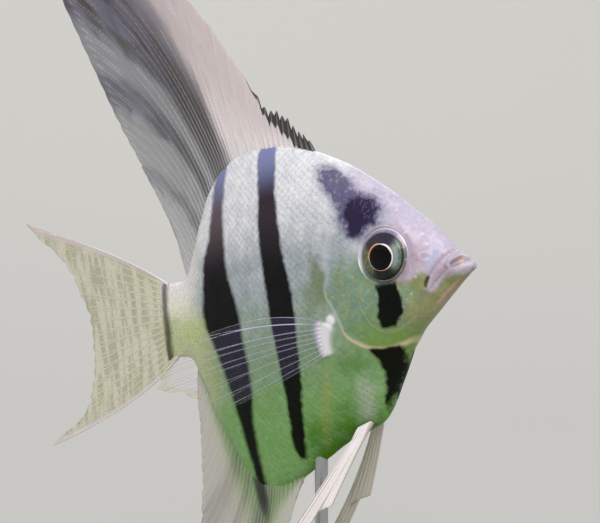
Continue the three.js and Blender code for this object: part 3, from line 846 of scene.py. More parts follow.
# %% Colours of the flank, by its place seen from the side
# Each patch: centre, radii, lean in degrees, softness, how torn its edge is, strength, colour.
FLANK_PATCHES = (
    ((-37.4, 3.4), (5, 2), 75, 0.8, 1.4, 0.65, "6f7a48"),
    ((-87, -4.5), (4.5, 6), 0, 0.7, 1, 0.6, "c6d48c"),
    ((-38.5, -0.5), (3, 5), 20, 0.7, 1, 0.6, "74865a"),
    ((-30.6, -18.4), (4.5, 3), 0, 0.7, 1, 0.75, "5c8c3a"),
    ((-30.6, -27.4), (5.6, 2.4), -70, 0.7, 1.4, 0.6, "bcc6b4"),
    ((-41.5, -27), (8.5, 1.6), -68, 0.8, 1.4, 0.4, "a8ac54"),
)


def patched(bench, colour, x, z, mottle, patches):
    """Lays a list of soft oval patches over a colour. mottle is the noise that tears them."""
    for centre, radii, lean_degrees, soft, torn, strength, code in patches:
        cover = spot(bench, x, z, centre, radii, lean_degrees, soft, torn * (mottle - 0.5))
        colour = bench.blend(cover * strength, colour, code)
    return colour


def flank_colour(bench, x, z, z_soft, mottle):
    """White on the back, partly painted light from above, pearl grey on the flank, green on the belly as
    a painted reflection, and cream at the tail.
    """
    pale = bench.ease(mottle, 0.35, 0.7)
    pearl = bench.blend(pale, "a2acb2", "bec4cb")
    # The white of the back is partly its own colour and partly painted light from above.
    white = bench.blend(pale, "e9e9f2", "fcfafd")
    colour = bench.blend(bench.ease(z_soft, 0.04, 0.28), pearl, white)
    # The green from the lower flank to the belly is a painted reflection of green surroundings.
    colour = bench.blend(bench.ease(0.05 - z_soft, 0, 0.2), colour, "88a27c")
    colour = bench.blend(bench.ease(-0.12 - z_soft, 0, 0.18), colour, "7cad5f")
    belly = bench.ease(-0.25 - z_soft, 0, 0.1) * (1 - bench.ease(x, 0.47, 0.56))
    colour = bench.blend(belly * 0.95, colour, "468200")
    colour = bench.blend(bench.ease(x, 0.79, 0.9) * 0.9, colour, "faf6e4")
    rear_low = bench.ease(x, 0.74, 0.82) * bench.ease(0.03 - z_soft, 0, 0.06)
    rear_low = rear_low * bench.ease(z_soft, -0.3, -0.2)
    colour = bench.blend(rear_low * 0.7, colour, "b4bf78")
    colour = patched(bench, colour, x, z, mottle, FLANK_PATCHES)
    rear_rim = bench.ease(x, 0.82, 0.87) * bench.ease(z_soft, 0.04, 0.11)
    return bench.blend(rear_rim * 0.8, colour, "f2e8f2")


# %% Colours of the head
GILL_LEVELS = [(50, -29), (20, -31), *((z, x) for x, z in GILL_KNOTS[1:9]), (-50, -24)]
LILAC_FLOOR = [
    (0, 0.486), (0.15, 0.479), (0.28, 0.477), (0.4, 0.472), (0.46, 0.492), (0.52, 0.502),
    (0.64, 0.49), (1, 0.483),
]
JAW_PATCHES = (
    ((-6.3, -5.9), (6, 0.8), -36, 0.5, 0, 0.6, "b09c80"),
    ((-6.3, -5.1), (4.6, 0.24), -36, 0.7, 0, 0.65, "cba98c"),
    ((-13.2, -2.2), (4.4, 2.2), -20, 0.7, 2, 0.65, "9b9850"),
    ((-14.6, -4.4), (1.5, 2.2), 0, 0.7, 1.4, 0.6, "92b296"),
    ((-13.4, -8.3), (4.4, 2.8), -50, 0.7, 1.2, 0.65, "a09a66"),
)


def cheek_colour(bench, colour, x, z, z_soft, mottle, head):
    """Teal over the cheek, streaked with olive, and grass green below, a painted reflection like the
    belly's.
    """
    cheek = head * bench.ease(0.1 - z_soft, 0, 0.08)
    teal = bench.blend(bench.ease(mottle, 0.4, 0.62), "829f7c", "668d7e")
    colour = bench.blend(cheek * 0.85, colour, teal)
    streak = bench.noise(bench.vector(x * 60 + z * 30, z * 14 - x * 8, 0), 1.2, 3)
    streaked = bench.ease(streak, 0.45, 0.65) * bench.ease(z_soft, -0.14, 0.02)
    colour = bench.blend(cheek * streaked * 0.55, colour, "9a9a50")
    # The grass green below is a painted reflection, as on the belly.
    low = head * bench.ease(-0.05 - z_soft, 0, 0.09)
    return bench.blend(low * 0.85, colour, "76963c")


def snout_colour(bench, colour, x, z, z_soft, mottle):
    """An olive jaw with tan and peach seams, under a lilac snout."""
    front = 1 - bench.ease(x, 0.15, 0.19)
    level = z + 0.5 - bench.line(5 * x, LILAC_FLOOR)
    above_jaw = level + 0.2 * (z_soft - z) + 0.03 * (mottle - 0.5)
    jaw = front * (1 - bench.ease(above_jaw, -0.012, 0.004))
    olive = bench.blend(bench.ease(mottle, 0.4, 0.62), "878b56", "a19f72")
    colour = bench.blend(jaw * bench.ease(0.12 - x, 0, 0.03) * 0.9, colour, olive)
    colour = patched(bench, colour, x, z, mottle, JAW_PATCHES)
    lilac = bench.blend(bench.ease(mottle, 0.38, 0.64), "b3a1b3", "c6b7c8")
    lilac = bench.blend(bench.ease(z - 0.9 * x, -0.06, 0.03), lilac, "c6bdd0")
    over = front * bench.ease(above_jaw, -0.01, 0.008)
    maxilla = spot(bench, x, z, (-7.3, -1.4), (3.9, 1.25), -55, 0.3)
    return bench.blend(bench.at_most(over + front * maxilla, 1), colour, lilac)


# %% All the colours between the bars
def ground_colour(bench, x, z):
    """The fish's colour without its bars, by its place seen from the side, with painted light on the
    back and a painted green reflection below.
    """
    where = bench.solid()
    cloud = bench.noise(where, 120, 3)
    mottle = bench.noise(where, 420, 4, 0.6)
    grain = bench.noise(where, 1700, 4, 0.65)
    z_soft = z + 0.14 * (cloud - 0.5) + 0.03 * (mottle - 0.5)
    colour = flank_colour(bench, x, z, z_soft, mottle)

    from_gill = x - bench.line(z + 0.5, level_curve(GILL_LEVELS))
    from_gill = from_gill + 0.04 * (cloud - 0.5) + 0.02 * (mottle - 0.5)
    head = 1 - bench.ease(from_gill, -0.03, 0.006)
    colour = cheek_colour(bench, colour, x, z, z_soft, mottle, head)
    colour = snout_colour(bench, colour, x, z, z_soft, mottle)
    brow = head * bench.ease(z_soft - 0.4 * x, 0.0, 0.1)
    colour = bench.blend(brow * 0.85, colour, "cfc7dd")
    frayed = 2 * (grain - 0.5) + 1.5 * (mottle - 0.5)
    blue = spot(bench, x, z, (-7.6, 3.1), (2.8, 1.2), -65, 0.8, frayed)
    colour = bench.blend(blue * 0.65, colour, "b6c2e6")
    speckled = 1 - bench.ease(grain, 0.3, 0.62)
    return bench.blend(0.2 * speckled, colour, "4c5058")


# %% Mix the fish's finish
SHINE = 0.3
WET = 0.25
INK_COVER = 0.985


def scale_colour(bench, colour):
    """Scales differ a little, and their free edges are darker."""
    chance, along = bench.place("scale")
    colour = bench.blend(bench.ease(chance, 0.3, 1) * 0.06, colour, "eef0f2")
    return bench.blend(bench.ease(along, 0.6, 1) * 0.2, colour, "68746c")


def bare_skin_colour(bench, colour, x, z, mouth, crease_shade_and_pale):
    """Creases get painted shade, the edges of the bony plates are pale, the pectoral knob gets a painted
    highlight and the eye's rim painted light, and the mouth has its own colour.
    """
    # Painted shade in creases, slits and pits.
    colour = bench.blend(bench.ease(0.5 - crease_shade_and_pale, 0.02, 0.2) * 0.75, colour, "3f3640")
    # Pale edges, with the painted highlight of the pectoral knob and painted light round the eye's rim.
    uneven = 0.62 + 0.5 * bench.noise(bench.solid(), 380, 3)
    pale = bench.at_most(bench.ease(crease_shade_and_pale - 0.5, 0.03, 0.34) * uneven, 0.95)
    clear_of_fin = bench.ease(z, -0.062, -0.052) + bench.ease(0.338 - x, 0, 0.006)
    gill_edge = bench.ease(x, 0.29, 0.3) * bench.at_most(clear_of_fin, 1)
    pale_and_highlight_colour = bench.blend(gill_edge, "f4f0fa", "bccbbf")
    low_edge = bench.ease(-0.09 - z, 0, 0.04) * bench.ease(0.345 - x, 0, 0.01)
    pale_and_highlight_colour = bench.blend(low_edge, pale_and_highlight_colour, "f0dcb8")
    colour = bench.blend(pale, colour, pale_and_highlight_colour)
    inside = bench.blend(bench.ease(x, 0.016, 0.03), "dfc0a0", "a89ba6")
    return bench.blend(bench.ease(mouth, 0.3, 0.7), colour, inside)


def ink_colour(bench, x, z):
    """The bars are black below, brownish then bluish towards the back, and violet on the head."""
    ink = bench.blend(bench.ease(z, 0.05, 0.24), "050404", "30242e")
    ink = bench.blend(bench.ease(x, 0.6, 0.68) * bench.ease(z, 0.1, 0.3) * 0.7, ink, "6c6064")
    ink = bench.blend(bench.ease(z, 0.25, 0.37), ink, "7c82ac")
    on_head = bench.ease(0.31 - x, 0, 0.04) * bench.ease(z, 0.04, 0.12)
    return bench.blend(on_head, ink, "2b2440")


def fish_finish(name, scaly):
    """The finish of the skin, or of the scales over it."""
    bench = Bench(name)
    x, z = bench.place("side")
    where = bench.solid()
    colour = ground_colour(bench, x, z)
    black, violet = markings(bench, x, z)
    fine = bench.noise(where, 1500, 3, 0.6)
    flecks = bench.ease(bench.noise(where, 1300, 3, 0.6), 0.6, 0.74)
    colour = bench.blend(flecks * 0.13, colour, "e6eae6")
    shine = (1 - black) * (0.35 + 0.65 * bench.ease(x, 0.08, 0.18))
    if scaly:
        colour = scale_colour(bench, colour)
    else:
        mouth, crease_shade_and_pale = bench.place("detail")
        colour = bare_skin_colour(bench, colour, x, z, mouth, crease_shade_and_pale)
        shine = shine * (1 - mouth)
    violet = bench.at_most(violet * (0.85 + 0.5 * bench.ease(fine, 0.35, 0.6)), 1)
    colour = bench.blend(violet * 0.88, colour, "474070")
    colour = bench.blend(black * INK_COVER, colour, ink_colour(bench, x, z))
    return bench.finish(
        Base_Color=colour,
        Metallic=SHINE * shine,
        Roughness=0.42 + 0.12 * fine - 0.1 * shine,
        Normal=bench.bump(0.25, 0.00006, fine),
        IOR=1.15,
        Coat_Weight=WET * (1 - black),
        Coat_Roughness=0.28,
        Coat_IOR=1.35,
        Subsurface_Weight=0.06,
        Subsurface_Scale=0.001,
    )


# %% Make the skin
skin_paint = fish_finish("pearly_skin", scaly=False)
skin = make_piece("skin", posed(skin_points), skin_faces, skin_maps, skin_paint, weld=True)
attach(skin, "root")
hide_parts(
    "head", "upper_jaw", "lower_jaw", "gill_cover_right", "gill_cover_left", "trunk", "tail_stem"
)

# %% [markdown]
# ## The eyes
# A fish's eye has no lids. It is a glassy dome with a round lens that nearly fills the
# pupil, a thin bright ring, and an iris that is dark above and below and silver-green before
# and behind. Each eye is one turned dome with a slightly raised lens and a shallow groove round
# the iris, and a polar map to paint it by the distance and direction from the pupil.

# %% Turn the eyes
EYE_RADIUS = 7  # the solid eyeball's radius
EYE_DEEP = 4  # the solid eyeball's depth from its middle
EYE_TRIM = 0.06  # the dome lies just inside the solid eyeball
DOME_TRIM = 0.15  # and is a little flatter, to leave room for the lens
LENS_RADIUS = 3.0
LENS_RISE = 0.16
LIMBUS_RADIUS = 5.45  # the iris's dark outer edge, a shallow groove
LIMBUS_DEPTH = 0.1
PUPIL_DROP = 0.6  # the fish looks a little down
RING_COUNT = 64
IRIS_MAP_WIDTH = 16  # the "iris" map spans this much across the eye
DOME_RADII = np.concatenate([np.linspace(0, 6.2, 60), np.linspace(6.25, EYE_RADIUS - EYE_TRIM, 12)])
BACK_RADII = np.array([0.9, 0.6, 0.3, 0]) * DOME_RADII[-1]
BACK_HEIGHTS = np.array([-1.4, -2.4, -2.8, -2.9])


def dome_profile(radius):
    """The dome's height over the eyeball's middle, with the lens and the iris worked in."""
    share = np.clip(radius / (EYE_RADIUS - EYE_TRIM), 0, 1)
    dome = (EYE_DEEP - DOME_TRIM) * np.sqrt(1 - share**2)
    lens = LENS_RISE * np.sqrt(np.clip(1 - (radius / LENS_RADIUS) ** 2, 0, 1))
    limbus = -LIMBUS_DEPTH * swell(radius - LIMBUS_RADIUS, 0.25)
    return dome + lens + limbus


def eye_grid(side_sign):
    """The points of one eye, from the pupil out to its equator and round the back."""
    drop = np.zeros(len(DOME_RADII) + len(BACK_RADII))
    drop[: len(DOME_RADII)] = PUPIL_DROP * (1 - (DOME_RADII / EYE_RADIUS) ** 2)
    turn = np.linspace(0, 2 * math.pi, RING_COUNT, endpoint=False)
    radius = np.concatenate([DOME_RADII, BACK_RADII])
    height = np.concatenate([dome_profile(DOME_RADII), BACK_HEIGHTS])
    across = radius[:, None] * np.cos(turn)
    up = radius[:, None] * np.sin(turn)
    lowered = up - drop[:, None]
    out = np.broadcast_to(height[:, None], across.shape)
    x = EYE_AT[0] + across * math.cos(EYE_FORWARD) + out * math.sin(EYE_FORWARD)
    y = eye_out + out * math.cos(EYE_FORWARD) - across * math.sin(EYE_FORWARD)
    polar = np.stack([0.5 + across / IRIS_MAP_WIDTH, 0.5 + up / IRIS_MAP_WIDTH], axis=-1)
    return np.stack([x, side_sign * y, EYE_AT[1] + lowered], axis=-1), polar


# %% Paint the eyes
def eye_finish():
    """A black pupil, a pale ring, an iris dark above and below, a silver outer band, and a pale edge
    that is partly painted light against the socket's shade.
    """
    bench = Bench("eye_gloss")
    u, v = bench.place("iris")
    forward = (u - 0.5) * IRIS_MAP_WIDTH
    up = (v - 0.5) * IRIS_MAP_WIDTH
    where = bench.solid()
    wobble = 0.2 * (bench.noise(where, 1400, 3) - 0.5)
    plain_radius = (forward * forward + up * up) ** 0.5
    radius = plain_radius + wobble
    ahead = forward / plain_radius
    above = up / plain_radius
    streaks = bench.noise(bench.vector(ahead * 3, above * 3, radius * 0.5), 2.2, 4, 0.6)

    side_green = bench.blend(bench.ease(ahead, -0.2, 0.8), "66643f", "5d6c60")
    side_green = bench.blend(bench.ease(streaks, 0.4, 0.7) * 0.5, side_green, "98a494")
    beside_pupil = (1 - bench.ease(abs(plain_radius - 3.9), 0.2, 0.9)) * bench.ease(ahead, 0.4, 0.95)
    side_green = bench.blend(beside_pupil * 0.6, side_green, "a3b3bc")
    dark = bench.ease(abs(above + 0.1), 0.45, 0.85)
    barred_iris = bench.blend(bench.ease(above, 0, 0.6), "14161a", "302a40")
    iris = bench.blend(dark * 0.93, side_green, barred_iris)

    band = bench.blend(bench.ease(above, -0.2, 0.8), "7c7874", "8a84a2")
    band = bench.blend(bench.ease(streaks, 0.5, 0.7) * 0.6, band, "c2bcc0")
    gold = bench.ease(bench.noise(where, 2600, 2), 0.55, 0.65) * bench.ease(above, 0, 0.6)
    band = bench.blend(gold * 0.7, band, "c49a62")
    colour = bench.blend(bench.ease(radius, 5.3, 5.7), iris, band)
    limbus = 1 - bench.ease(abs(radius - 5.35), 0.08, 0.32)
    limbus = limbus * (0.8 - 0.4 * bench.ease(above, 0.1, 0.8))
    colour = bench.blend(limbus, colour, "19211d")

    upper_rear = bench.ease(above - ahead, 0.9, 1.3)
    ring_edge = 3.14 + 0.2 * bench.ease(ahead, 0, 0.9) + 0.3 * upper_rear
    ring = 1 - bench.ease(plain_radius + 0.6 * wobble, ring_edge - 0.1, ring_edge + 0.06)
    warm = bench.at_most(upper_rear + 0.7 * bench.ease(-above, 0.6, 0.95), 1)
    colour = bench.blend(ring, colour, bench.blend(warm, "f6efe6", "e0996a"))
    flattened = plain_radius + 0.14 * bench.ease(above + ahead, 1.0, 1.4)
    pupil = 1 - bench.ease(flattened, LENS_RADIUS - 0.03, LENS_RADIUS + 0.07)
    colour = bench.blend(pupil, colour, "030305")
    # A pale edge round the dome, partly its own colour and partly painted light that cancels the shade
    # of the socket's gap.
    outer = bench.ease(plain_radius, 6.05, 6.25)
    colour = bench.blend(outer * 0.9, colour, "dcd6e6")
    return bench.finish(
        Base_Color=colour,
        Metallic=0.35 * bench.ease(plain_radius, LENS_RADIUS, LENS_RADIUS + 0.18),
        Roughness=0.32 - 0.22 * pupil,
        IOR=1.15,
        Coat_Weight=1.0,
        Coat_Roughness=0.03,
        Coat_IOR=1.2,
    )


# %% Make the eyes
eye_paint = eye_finish()
for side_name, side_sign in (("right", -1), ("left", 1)):
    eye_points, polar = (np.swapaxes(grid, 0, 1) for grid in eye_grid(side_sign))
    rings = eye_points.shape[1]
    wall = grid_faces(RING_COUNT, rings, wrap=True)
    is_back = np.repeat((wall % rings).max(axis=1) >= len(DOME_RADII), 4)[:, None]
    iris = at_corners(polar, [wall])
    maps = {"OFBake": np.where(is_back, 0.1 * iris, iris), "iris": iris}
    eye = make_piece(f"eye_{side_name}_dome", posed(eye_points), [wall], maps, eye_paint, weld=True)
    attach(eye, "root")
    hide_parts(f"eye_{side_name}")
print("eyes: pupil", round(2000 * LENS_RADIUS * UNIT, 1), "mm across")

# %% [markdown]
# ## The scales
# Each scale is a thin plate rooted in the skin at its front edge and free at its rear one,
# and the rows overlap like tiles. They could be faked with bump alone, but real plates catch
# the light along their free edges and break the outline. One small domed plate is laid on the
# skin again and again: its grid is carried along the skin's own curves, its sides dip under
# the skin so that it looks solid, and its free edge lifts. Rows run along the body. Scales
# are smallest behind the eye and on the gill cover, and the snout, lips and jaw have none.

# %% Places on the skin
skin_right = skin_points[END_RINGS:-END_RINGS, : HALF_COUNT + 1]
normal_right = skin_normals[END_RINGS:-END_RINGS, : HALF_COUNT + 1]


def skin_reach(x):
    """The lowest and the highest height along the skin at a station."""
    return [np.interp(-x, -stations, skin_height[:, end]) for end in (0, -1)]


def on_skin(x, height):
    """Places and normals on the right side of the skin, by station and height along the skin."""
    i = np.interp(-x, -stations, np.arange(len(stations)))
    low, high = skin_reach(x)
    j = np.clip((height - low) / (high - low), 0, 1) * HALF_COUNT
    i0 = np.clip(i.astype(int), 0, len(stations) - 2)
    j0 = np.clip(j.astype(int), 0, HALF_COUNT - 1)
    a = (i - i0)[..., None]
    b = (j - j0)[..., None]
    found = []
    for grid in (skin_right, normal_right):
        near = grid[i0, j0] * (1 - b) + grid[i0, j0 + 1] * b
        far = grid[i0 + 1, j0] * (1 - b) + grid[i0 + 1, j0 + 1] * b
        found.append(near * (1 - a) + far * a)
    return found


# %% Where scales are rooted
ROWS_REACH = 60
BARE_MARGIN = 0.8  # the keels of the belly and the back stay bare this far


def scale_rows(first, last, step, spacing, keep):
    """Roots (x, height along the skin) and sizes of the scales of one region.

    Rows lie a spacing apart, and every other one is set back by half a step. step(x) is the
    size of the scales, and keep(x, z) tells which of them are wanted."""
    xs = [first]
    while xs[-1] > last:
        xs.append(xs[-1] - step(xs[-1]))
    xs = np.array(xs)
    sizes = -np.gradient(xs)
    levels = np.arange(-ROWS_REACH, ROWS_REACH, spacing)
    x, level = np.meshgrid(xs, levels)
    size = np.broadcast_to(sizes, x.shape)
    odd = np.arange(len(levels))[:, None] % 2
    x = x - 0.5 * odd * size
    low, high = skin_reach(x)
    inside = (level > low + BARE_MARGIN) & (level < high - BARE_MARGIN)
    places, _ = on_skin(x, level)
    wanted = inside & keep(x, places[..., 2])
    return np.stack([x, level, size], axis=-1)[wanted]


def trunk_step(x):
    return float(np.interp(-x, [30, 45, 70, 85, 100], [1.7, 2.0, 2.0, 1.6, 1.3]))


def cheek_step(x):
    return float(np.interp(-x, [14, 26, 38], [0.95, 1.2, 1.5]))


def behind(x, z, line):
    """Whether a place lies behind a line that runs from the nape down to the throat."""
    _, _, side = beside(np.stack([x, z], axis=-1), line)
    return side < 0


# %% Where each region ends
ROOT_CLEARANCE = 3.4
TRUNK_CLEARANCE = 1.9
COVER_CLEARANCE = 2.1
EYE_CLEARANCE = 8.6
SCALE_MIDDLE = (-1.2, 0)  # from a scale's root


def off_pectoral_root(place):
    """Whether a scale rooted at a place is clear of the fleshy root of the pectoral fin."""
    root = np.array([PECTORAL_KNOB, *PECTORAL_ROOT])
    return away_from(place + SCALE_MIDDLE, root) > ROOT_CLEARANCE


def on_trunk(x, z):
    """Behind the gill cover, with the nape above it and the breast below."""
    place = np.stack([x, z], axis=-1)
    nape = x < -15 - 0.5 * z
    clear_of_gill = away_from(place, GILL_EDGE) > TRUNK_CLEARANCE
    behind_gill = behind(x, z, GILL_EDGE) & clear_of_gill & off_pectoral_root(place)
    middle = behind_gill & (x < -30)
    breast = behind_gill & (x < -26 + 0.2 * (z + 30))
    return np.where(z > 16, nape, np.where(z < -11, breast, middle))


def on_cheek(x, z):
    """On the cheek and the gill cover, but not on the eye's rim, the brow or the jaw."""
    place = np.stack([x, z], axis=-1)
    from_eye = np.linalg.norm(place - EYE_AT, axis=-1)
    edge = np.minimum(away_from(place, GILL_EDGE), 0.5 + away_from(place, CHEEK_EDGE))
    below_nape = (z < 16) & (z < 2.4 * (-x - 12.5)) & (z < -0.6 * x - 4)
    clear_of_edges = (edge > COVER_CLEARANCE) & off_pectoral_root(place)
    on_cover = clear_of_edges & ~behind(x, z, GILL_EDGE)
    return below_nape & on_cover & (z > -13) & (x < -13) & (from_eye > EYE_CLEARANCE)


# %% Lay plates on the skin
PLATE_LONG = 4
PLATE_WIDE = 6
PLATE_LENGTH = 1.55  # in shares of the step between two scales, so that they overlap
PLATE_HALF_WIDTH = 0.7
PLATE_ROOTED = 0.2  # the share of a plate in front of its root
PLATE_SUNK = 0.03  # how far the hidden edges of a plate dip under the skin
PLATE_CREASE = math.radians(40)  # sharper edges stay sharp, so only the top is smooth
WIDEST_ALONG = 0.45
UNEVEN = 0.05
BAKE_PATCH = 0.003
plate_along = np.append(np.linspace(0, 1, PLATE_LONG + 1), 1)  # the last row turns down
plate_across = np.linspace(-1, 1, PLATE_WIDE + 1)
rng = np.random.default_rng(7)


def plate_outline(along):
    """Half the width of a plate, in shares of its widest, from its root to its free edge."""
    rounded = np.sqrt(np.clip(1 - ((along - WIDEST_ALONG) / 0.56) ** 2, 0, 1))
    widening = 0.72 + 0.28 * np.sin(along / WIDEST_ALONG * math.pi / 2)
    return np.where(along < WIDEST_ALONG, widening, rounded)


def plate_faces(count):
    """The faces of many plates: each one's domed grid, and one wide face that closes it."""
    rows, columns = PLATE_LONG + 2, PLATE_WIDE + 1
    numbers = np.arange(rows * columns).reshape(rows, columns)
    sides = [numbers[0, :-1], numbers[:-1, -1], numbers[-1, :0:-1], numbers[:0:-1, 0]]
    border = np.concatenate(sides)
    first_point = np.arange(count)[:, None, None] * rows * columns
    upper = (first_point + grid_faces(rows, columns)).reshape(-1, 4)
    lower = (first_point + border).reshape(-1, len(border))
    return [upper, lower]


def lay_scales(roots, lift, side_sign):
    """Points, faces and maps of all the scales of a list of roots, on one side of the fish."""
    count = len(roots)
    x, level, size = (roots[:, k][:, None, None] for k in range(3))
    jitter = rng.normal(0, UNEVEN, (3, count, 1, 1))
    length = PLATE_LENGTH * size * (1 + jitter[0])
    along = plate_along[None, :, None]
    across = plate_across[None, None, :]
    half = PLATE_HALF_WIDTH * size * plate_outline(np.minimum(along, 0.97))
    place_x = x - (along - PLATE_ROOTED) * length
    place_level = level + across * half + jitter[1] * size
    places, normals = on_skin(place_x, place_level)
    rise = lift * (0.15 + 1.0 * along) * (1 - 0.75 * np.abs(across) ** 2.5)
    rise = rise * (1 + 1.5 * jitter[2])
    rise[:, [0, -1]] = -PLATE_SUNK
    rise[:, :, [0, -1]] = -PLATE_SUNK
    places = places + normals * rise[..., None]
    places[..., 1] *= -side_sign

    faces = plate_faces(count)
    chance = rng.random((count, 1, 1)) * np.ones_like(rise)
    tell = np.stack([chance, along * np.ones_like(rise)], axis=-1)
    offset = np.stack(np.broadcast_arrays(along - 0.5, 0.5 * across), axis=-1) * BAKE_PATCH
    bake = unwrap(x, level, float(side_sign > 0)) + offset
    maps = {
        "OFBake": at_corners(bake, faces),
        "side": at_corners(side_map(places[..., 0], places[..., 2]), faces),
        "scale": at_corners(tell, faces),
    }
    return places, faces, maps


# %% Cover both sides
TRUNK_LIFT = 0.085
CHEEK_LIFT = 0.045
scale_paint = fish_finish("pearly_scales", scaly=True)
trunk_roots = scale_rows(-15, -98.5, trunk_step, 1.05, on_trunk)
cheek_roots = scale_rows(-13, -38, cheek_step, 0.72, on_cheek)
regions = (("trunk", trunk_roots, TRUNK_LIFT), ("cheek", cheek_roots, CHEEK_LIFT))
for side_name, side_sign in (("right", -1), ("left", 1)):
    for region, roots, lift in regions:
        places, faces, maps = lay_scales(roots, lift, side_sign)
        coat = make_piece(f"scales_{region}_{side_name}", posed(places), faces, maps, scale_paint)
        coat.data.set_sharp_from_angle(angle=PLATE_CREASE)
        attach(coat, "root")
    print(f"{side_name}: {len(trunk_roots)} scales on the trunk, {len(cheek_roots)} on the cheek")

# %% [markdown]
# ## The fins
# A fin is a fan of thin bony rays with a clear web between them. The rays of the front of the
# dorsal and anal fins are plain spines. The others are soft: they fork once or twice on
# their way out and fade into the web. Every fin here is one closed sheet that follows the same
# bent rays as its solid. Its thickness is a thin web plus a ridge over each ray, so the rays
# are real forms that catch light, and a flat map tells the finish where the rays are.

# %% The fans of rays
def bend(root, bow, tip, t):
    """Points along rays that bend from their roots, by their bows, to their tips."""
    ends = [np.stack(np.broadcast_arrays(*place), axis=-1)[:, None, :] for place in (root, bow, tip)]
    root, bow, tip = ends
    t = t[..., None]
    return root * (1 - t) ** 2 + 2 * bow * t * (1 - t) + tip * t**2


def outline(*knots):
    """A fin's edge through (share, x, z) knots, as a function of the share."""
    xs = curve(*[(-s, x) for s, x, _ in knots])
    zs = curve(*[(-s, z) for s, _, z in knots])
    return lambda s: (xs(-s), zs(-s))


# %% The rims of the fins
FIN_SINK = 1.4  # how deep the rays start in the body
SWAY = 1.6  # how far the fins' tips ripple to either side
DORSAL_TIPS = outline(
    (0, -41.2, 39.6), (0.12, -46.6, 45.4), (0.3, -56.2, 54.2), (0.42, -63.8, 68),
    (0.54, -75.4, 87), (0.6, -102, 114), (0.64, -150, 139), (0.66, -149, 137),
    (0.74, -130, 103), (0.84, -112.5, 65), (0.93, -101, 41), (1, -92.5, 24),
)
ANAL_TIPS = outline(
    (0, -58.4, -47.5), (0.1, -62.5, -56.5), (0.24, -74, -78), (0.3, -94, -100),
    (0.36, -124, -119.5), (0.39, -123, -117.5), (0.52, -108, -88), (0.68, -99, -62),
    (0.84, -94.5, -40), (1, -91.5, -22),
)
CAUDAL_TIPS = outline(
    (0, -166, 41), (0.03, -163, 37.5), (0.12, -149, 27), (0.3, -141, 13), (0.5, -139, -1),
    (0.7, -141, -14), (0.88, -147, -24), (0.97, -161, -29.5), (1, -164, -31.5),
)
PECTORAL_TIPS = outline(
    (0, 27.6, -7), (0.11, 35, -9.3), (0.22, 40.5, -14.4), (0.33, 41, -15.9), (0.44, 40.7, -18.3),
    (0.56, 39.8, -19.6), (0.67, 34, -21.9), (0.78, 30.6, -24.5), (0.89, 25.4, -25.2), (1, 22, -24.5),
)


# %% The fans of the back, the belly and the tail
def median_fan(s, t, out, root_x, tips, lean_degrees, sway):
    """The rays of a fin of the back (out = 1) or the belly (out = -1)."""
    rim = top(root_x) if out > 0 else bottom(root_x)
    root_z = rim - out * FIN_SINK
    tip_x, tip_z = tips(s)
    reach = 0.5 * np.hypot(tip_x - root_x, tip_z - root_z)
    lean = np.radians(lean_degrees)
    bow = (root_x - reach * np.sin(lean), 0, root_z + out * reach * np.cos(lean))
    return bend((root_x, 0, root_z), bow, (tip_x, sway, tip_z), t)


def dorsal_fan(s, t):
    return median_fan(s, t, 1, -39 - 49.5 * s, DORSAL_TIPS, 12 + 10 * s, SWAY * np.sin(7 * s))


def anal_fan(s, t):
    return median_fan(s, t, -1, -55.5 - 33 * s, ANAL_TIPS, 14 + 12 * s, -SWAY * np.sin(6 * s))


def caudal_fan(s, t):
    tip_x, tip_z = CAUDAL_TIPS(s)
    level = 1 - 2 * s
    sway = SWAY * np.sin(5 * s - 1)
    return bend((-97, 0, 10.3 * level), (-116, 0, 22.8 * level), (tip_x, sway, tip_z), t)


# %% The fans of the paired fins
PECTORAL_X = -37.6
PECTORAL_OUT = math.radians(40)
PECTORAL_SINK = 0.6


def pectoral_fan(s, t):
    """The pectoral fin spreads back and out from a short upright root."""
    root_z = -7.6 - 7.8 * s
    reach, tip_z = PECTORAL_TIPS(s)
    start = flank(PECTORAL_X, root_z) - PECTORAL_SINK

    def place(r, z):
        return (PECTORAL_X - r * math.cos(PECTORAL_OUT), start + r * math.sin(PECTORAL_OUT), z)

    bow = place(0.45 * reach, (root_z + tip_z) / 2 + 4.6 * (1 - s))
    return bend(place(0, root_z), bow, place(reach, tip_z), t)


PELVIC_ASIDE = 2.6


def pelvic_rays(s, t, length, back, side, bow_back):
    """Rays of a given length that lean back by so many degrees and end at a place to the side."""
    root_x = -31.2 - 3.8 * s
    root_z = -32.6 - 1.2 * s

    def place(r, degrees, y):
        angle = np.radians(degrees)
        return (root_x - r * np.sin(angle), y, root_z - r * np.cos(angle))

    half = 0.45 * length
    bow = place(half, bow_back, PELVIC_ASIDE + 0.34 * half)
    return bend(place(0, 0, PELVIC_ASIDE), bow, place(length, back, side), t)


def pelvic_fan(s, t):
    """The short, broad fan of the pelvic fin."""
    length = np.interp(s, [0, 0.45, 0.86, 1], [22, 22.5, 25, 16])
    back = np.interp(s, [0, 0.45, 0.86, 1], [31, 33, 37, 38])
    side = np.interp(s, [0, 0.86, 1], [8.2, 8.2, 6.4])
    return pelvic_rays(s, t, length, back, side, np.minimum(back, 35))


def streamer_fan(s, t):
    """The long trailing rays of the pelvic fin."""
    return pelvic_rays(0.2 + 0.78 * s, t, 76 + 0 * s, 43 + 2 * s, 9 + 0 * s, 32.5 + 5 * s)


# %% Parts of a fin's sheet
EDGE_SCALE = 10  # the "ray" map counts the distance to the edge up to this many hundredths
MOST_CUT = 0.6  # no notch is deeper than this share of a ray
# How far a soft ray's branches part, in steps between rays, and from where to where on its way.
FIRST_FORK = (0.24, 0.42, 1.1)
SECOND_FORK = (0.11, 0.7, 1.15)
THIN_EDGE = 0.35  # thickness of the edge, in shares of the web's


